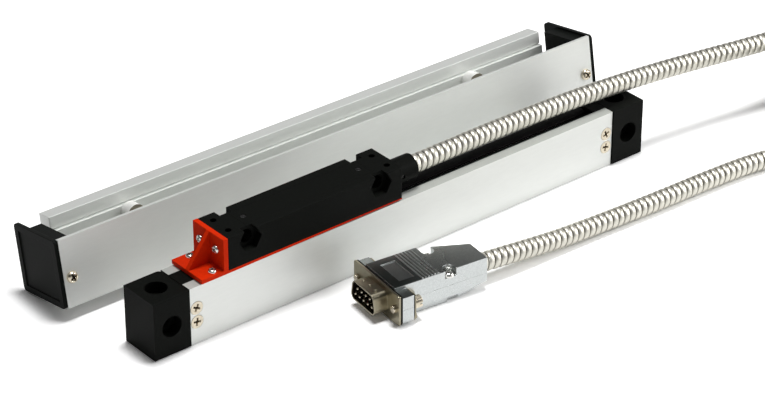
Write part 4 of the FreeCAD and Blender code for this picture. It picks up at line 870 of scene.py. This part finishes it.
def treeMesh(name, base, tree, values):
    # the evaluated result of a tree on a base mesh, as a plain mesh
    holder = bpy.data.objects.new(name, base)
    scene.collection.objects.link(holder)
    modifier = holder.modifiers.new("tree", "NODES")
    modifier.node_group = tree
    for item in tree.interface.items_tree:
        if item.in_out == "INPUT" and item.name in values:
            modifier[item.identifier] = values[item.name]
    bpy.context.view_layer.update()
    seen = holder.evaluated_get(bpy.context.evaluated_depsgraph_get())
    done = bpy.data.meshes.new_from_object(seen)
    holder.modifiers.remove(modifier)
    holder.data = done
    for face in done.polygons:
        face.use_smooth = True
    done.set_sharp_from_angle(angle=math.radians(turnedSharp))
    return holder


def settle(piece, node, place):
    piece.data.transform(place)
    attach(piece, bodyOf[node])
    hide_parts(node)
    pieces[node] = piece


def makeScrews(kinds):
    tree = screwTree()
    for node, spec in kinds.items():
        master = screwMaster(node + "_master", spec)
        points = bpy.data.meshes.new(node + "_points")
        spots = [tuple(value * mm for value in spot) for spot, way in spec["places"]]
        points.from_pydata(spots, [], [])
        ways = np.array([way for spot, way in spec["places"]], dtype=float)
        points.attributes.new("way", "FLOAT_VECTOR", "POINT").data.foreach_set(
            "vector", ways.ravel()
        )
        values = {"Screw": master, "Head Size": 1.0, "Turn Seed": spec["seed"],
                  "Finish": materials[spec["finish"]]}
        piece = treeMesh(node + "_finished", points, tree, values)
        settle(piece, node, frames[spec["frame"]])
        bpy.data.objects.remove(master)


def makeContacts(spec):
    radius = spec["radius"]
    nose = [(radius * math.sin(a), radius * math.cos(a) - radius)
            for a in np.linspace(spec["noseFrom"], math.pi / 2, spec["noseRings"])]
    rings = nose + [(radius, spec["tip"] - spec["tail"])]
    master = turnedMesh("pinMaster", rings, spec["around"])
    along = Matrix.Translation((spec["tip"] * mm, 0, 0)) @ Matrix.Rotation(-math.pi / 2, 4, "Y")
    master.data.transform(along)
    values = {"Pin": master, "Pitch": spec["pitch"] * mm, "Row Gap": spec["rowGap"] * mm,
              "Upper Pins": spec["upper"], "Lower Pins": spec["lower"],
              "Finish": materials["goldPin"]}
    base = bpy.data.meshes.new("contactBase")
    piece = treeMesh("plug_contacts_finished", base, contactTree(), values)
    settle(piece, "plug_contacts", frames["plug"])
    bpy.data.objects.remove(master)


def ringMesh(name, outline, segments):
    # a closed ring turned about Z from an outline of (radius, height), run clockwise
    turn = 2 * math.pi * np.arange(segments) / segments
    vertices = [(r * math.cos(a) * mm, r * math.sin(a) * mm, z * mm)
                for r, z in outline for a in turn]
    count = len(outline)
    faces = []
    for row in range(count):
        upper, lower = row * segments, (row + 1) % count * segments
        for k in range(segments):
            onward = (k + 1) % segments
            faces.append((upper + k, lower + k, lower + onward, upper + onward))
    mesh = bpy.data.meshes.new(name)
    mesh.from_pydata(vertices, [], faces)
    return mesh


def makeBearings(spec):
    half, edge = spec["wide"] / 2, spec["edge"]
    groove, span = spec["groove"], spec["grooveHalf"]
    outer, outerRace = spec["outer"], spec["outerRace"]
    inner, bore = spec["innerRace"], spec["bore"]
    outlines = [
        [(outer - edge, half), (outer, half - edge), (outer, edge - half), (outer - edge, -half),
         (outerRace, -half), (outerRace, -span), (outerRace + groove, 0),
         (outerRace, span), (outerRace, half)],
        [(inner, half), (inner, span), (inner - groove, 0), (inner, -span),
         (inner, -half), (bore, -half), (bore, half)],
    ]
    pole = spec["ballPole"]
    arc = np.linspace(pole, math.pi - pole, spec["ballRings"])
    profile = [(spec["ball"] * math.sin(a), spec["ball"] * math.cos(a)) for a in arc]
    ball = turnedMesh("ballMaster", profile, spec["ballAround"])
    tree = bearingTree()
    for node in spec["nodes"]:
        rings = bmesh.new()
        for k, outline in enumerate(outlines):
            part = ringMesh(f"{node}_ring{k}", outline, spec["around"])
            rings.from_mesh(part)
        base = bpy.data.meshes.new(node + "_rings")
        rings.to_mesh(base)
        rings.free()
        values = {"Ball": ball, "Balls": spec["balls"],
                  "Circle Radius": (outerRace + inner) / 2 * mm,
                  "Finish": materials["bearingSteel"]}
        piece = treeMesh(node + "_finished", base, tree, values)
        source = nodes[node]
        corners = np.array([source.matrix_world @ Vector(c) for c in source.bound_box])
        low, high = corners.min(axis=0), corners.max(axis=0)
        axis = int(np.argmin(high - low))
        lie = Matrix.Rotation(math.pi / 2, 4, "X") if axis == 1 else Matrix.Identity(4)
        settle(piece, node, Matrix.Translation(Vector((low + high) / 2)) @ lie)
    bpy.data.objects.remove(ball)


makeScrews(screws)
makeContacts(contacts)
makeBearings(bearings)
print("stage: screws, contacts and bearings set out")

# Floor, lamps and world

studio = {
    "floorSize": 6.0,
    "floorDrop": 0.0002,
    "floorColour": (0.93, 0.93, 0.93),
    "floorShown": (1.28, 1.28, 1.28),
    "fadeCentre": (0.08, 0.0, 0.0),
    "fade": (0.32, 0.60),
    "worldLight": 0.17,
    # what shiny surfaces see of the sky: (sine of the height, brightness)
    "skyGlow": [(0.0, 1.0), (0.14, 0.60), (0.30, 0.07), (0.62, 0.03), (0.86, 0.20), (1.0, 0.55)],
    "lamps": [
        # place, aim, size, watts
        ((0.10, 0.12, 1.40), (0.0, 0.0, 0.0), 0.36, 15.2),
        ((0.52, -0.36, 0.34), (0.05, 0.02, 0.0), 0.45, 3.0),
    ],
}


def makeFloor(spec):
    half = spec["floorSize"] / 2
    mesh = bpy.data.meshes.new("studioFloor")
    corners = [(-half, -half, 0), (half, -half, 0), (half, half, 0), (-half, half, 0)]
    mesh.from_pydata(corners, [], [(0, 1, 2, 3)])
    floor = bpy.data.objects.new("studioFloor", mesh)
    floor.location.z = -spec["floorDrop"]
    scene.collection.objects.link(floor)
    material, tree, shader = newMaterial("paleFloor")
    tree.nodes.remove(shader)
    # the camera sees the floor a little brighter, so that it goes white away from the shadows
    matt = addNode(tree, "ShaderNodeBsdfDiffuse")
    matt.inputs["Color"].default_value = (*spec["floorColour"], 1)
    shown = addNode(tree, "ShaderNodeBsdfDiffuse")
    shown.inputs["Color"].default_value = (*spec["floorShown"], 1)
    rays = addNode(tree, "ShaderNodeLightPath")
    # and it fades to white beyond the lamps' reach
    coords = addNode(tree, "ShaderNodeTexCoord")
    offset = addNode(tree, "ShaderNodeVectorMath", operation="DISTANCE")
    offset.inputs[1].default_value = spec["fadeCentre"]
    tree.links.new(coords.outputs["Object"], offset.inputs[0])
    fade = addNode(tree, "ShaderNodeMapRange")
    fade.inputs["From Min"].default_value, fade.inputs["From Max"].default_value = spec["fade"]
    tree.links.new(offset.outputs["Value"], fade.inputs["Value"])
    white = addNode(tree, "ShaderNodeEmission")
    far = addNode(tree, "ShaderNodeMixShader")
    tree.links.new(fade.outputs["Result"], far.inputs["Fac"])
    tree.links.new(shown.outputs[0], far.inputs[1])
    tree.links.new(white.outputs[0], far.inputs[2])
    mix = addNode(tree, "ShaderNodeMixShader")
    tree.links.new(rays.outputs["Is Camera Ray"], mix.inputs["Fac"])
    tree.links.new(matt.outputs[0], mix.inputs[1])
    tree.links.new(far.outputs[0], mix.inputs[2])
    output = next(n for n in tree.nodes if n.type == "OUTPUT_MATERIAL")
    tree.links.new(mix.outputs[0], output.inputs["Surface"])
    mesh.materials.append(material)


def makeWorld(spec):
    world = bpy.data.worlds.new("studioWorld")
    scene.world = world
    world.use_nodes = True
    world.cycles.sampling_method = "NONE"    # shiny surfaces then see only their own sky
    tree = world.node_tree
    plain = next(n for n in tree.nodes if n.type == "BACKGROUND")
    plain.inputs["Color"].default_value = (1, 1, 1, 1)
    plain.inputs["Strength"].default_value = spec["worldLight"]
    white = addNode(tree, "ShaderNodeBackground")
    white.inputs["Color"].default_value = (1, 1, 1, 1)
    mirror = addNode(tree, "ShaderNodeBackground")
    coords = addNode(tree, "ShaderNodeTexCoord")
    split = addNode(tree, "ShaderNodeSeparateXYZ")
    tree.links.new(coords.outputs["Generated"], split.inputs[0])
    stops = [(place, (glow, glow, glow)) for place, glow in spec["skyGlow"]]
    sky = addRamp(tree, split.outputs["Z"], stops)
    tree.links.new(sky, mirror.inputs["Color"])
    rays = addNode(tree, "ShaderNodeLightPath")
    first = addNode(tree, "ShaderNodeMixShader")
    tree.links.new(rays.outputs["Is Glossy Ray"], first.inputs["Fac"])
    tree.links.new(plain.outputs[0], first.inputs[1])
    tree.links.new(mirror.outputs[0], first.inputs[2])
    second = addNode(tree, "ShaderNodeMixShader")
    tree.links.new(rays.outputs["Is Camera Ray"], second.inputs["Fac"])
    tree.links.new(first.outputs[0], second.inputs[1])
    tree.links.new(white.outputs[0], second.inputs[2])
    output = next(n for n in tree.nodes if n.type == "OUTPUT_WORLD")
    tree.links.new(second.outputs[0], output.inputs["Surface"])


def makeLamps(spec):
    for k, (place, aim, size, watts) in enumerate(spec["lamps"], 1):
        data = bpy.data.lights.new(f"softLamp{k}", "AREA")
        data.size = size
        data.energy = watts
        lamp = bpy.data.objects.new(f"softLamp{k}", data)
        lamp.location = place
        way = Vector(aim) - Vector(place)
        lamp.rotation_euler = way.to_track_quat("-Z", "Y").to_euler()
        scene.collection.objects.link(lamp)


makeFloor(studio)
makeWorld(studio)
makeLamps(studio)
print("stage: studio lit")
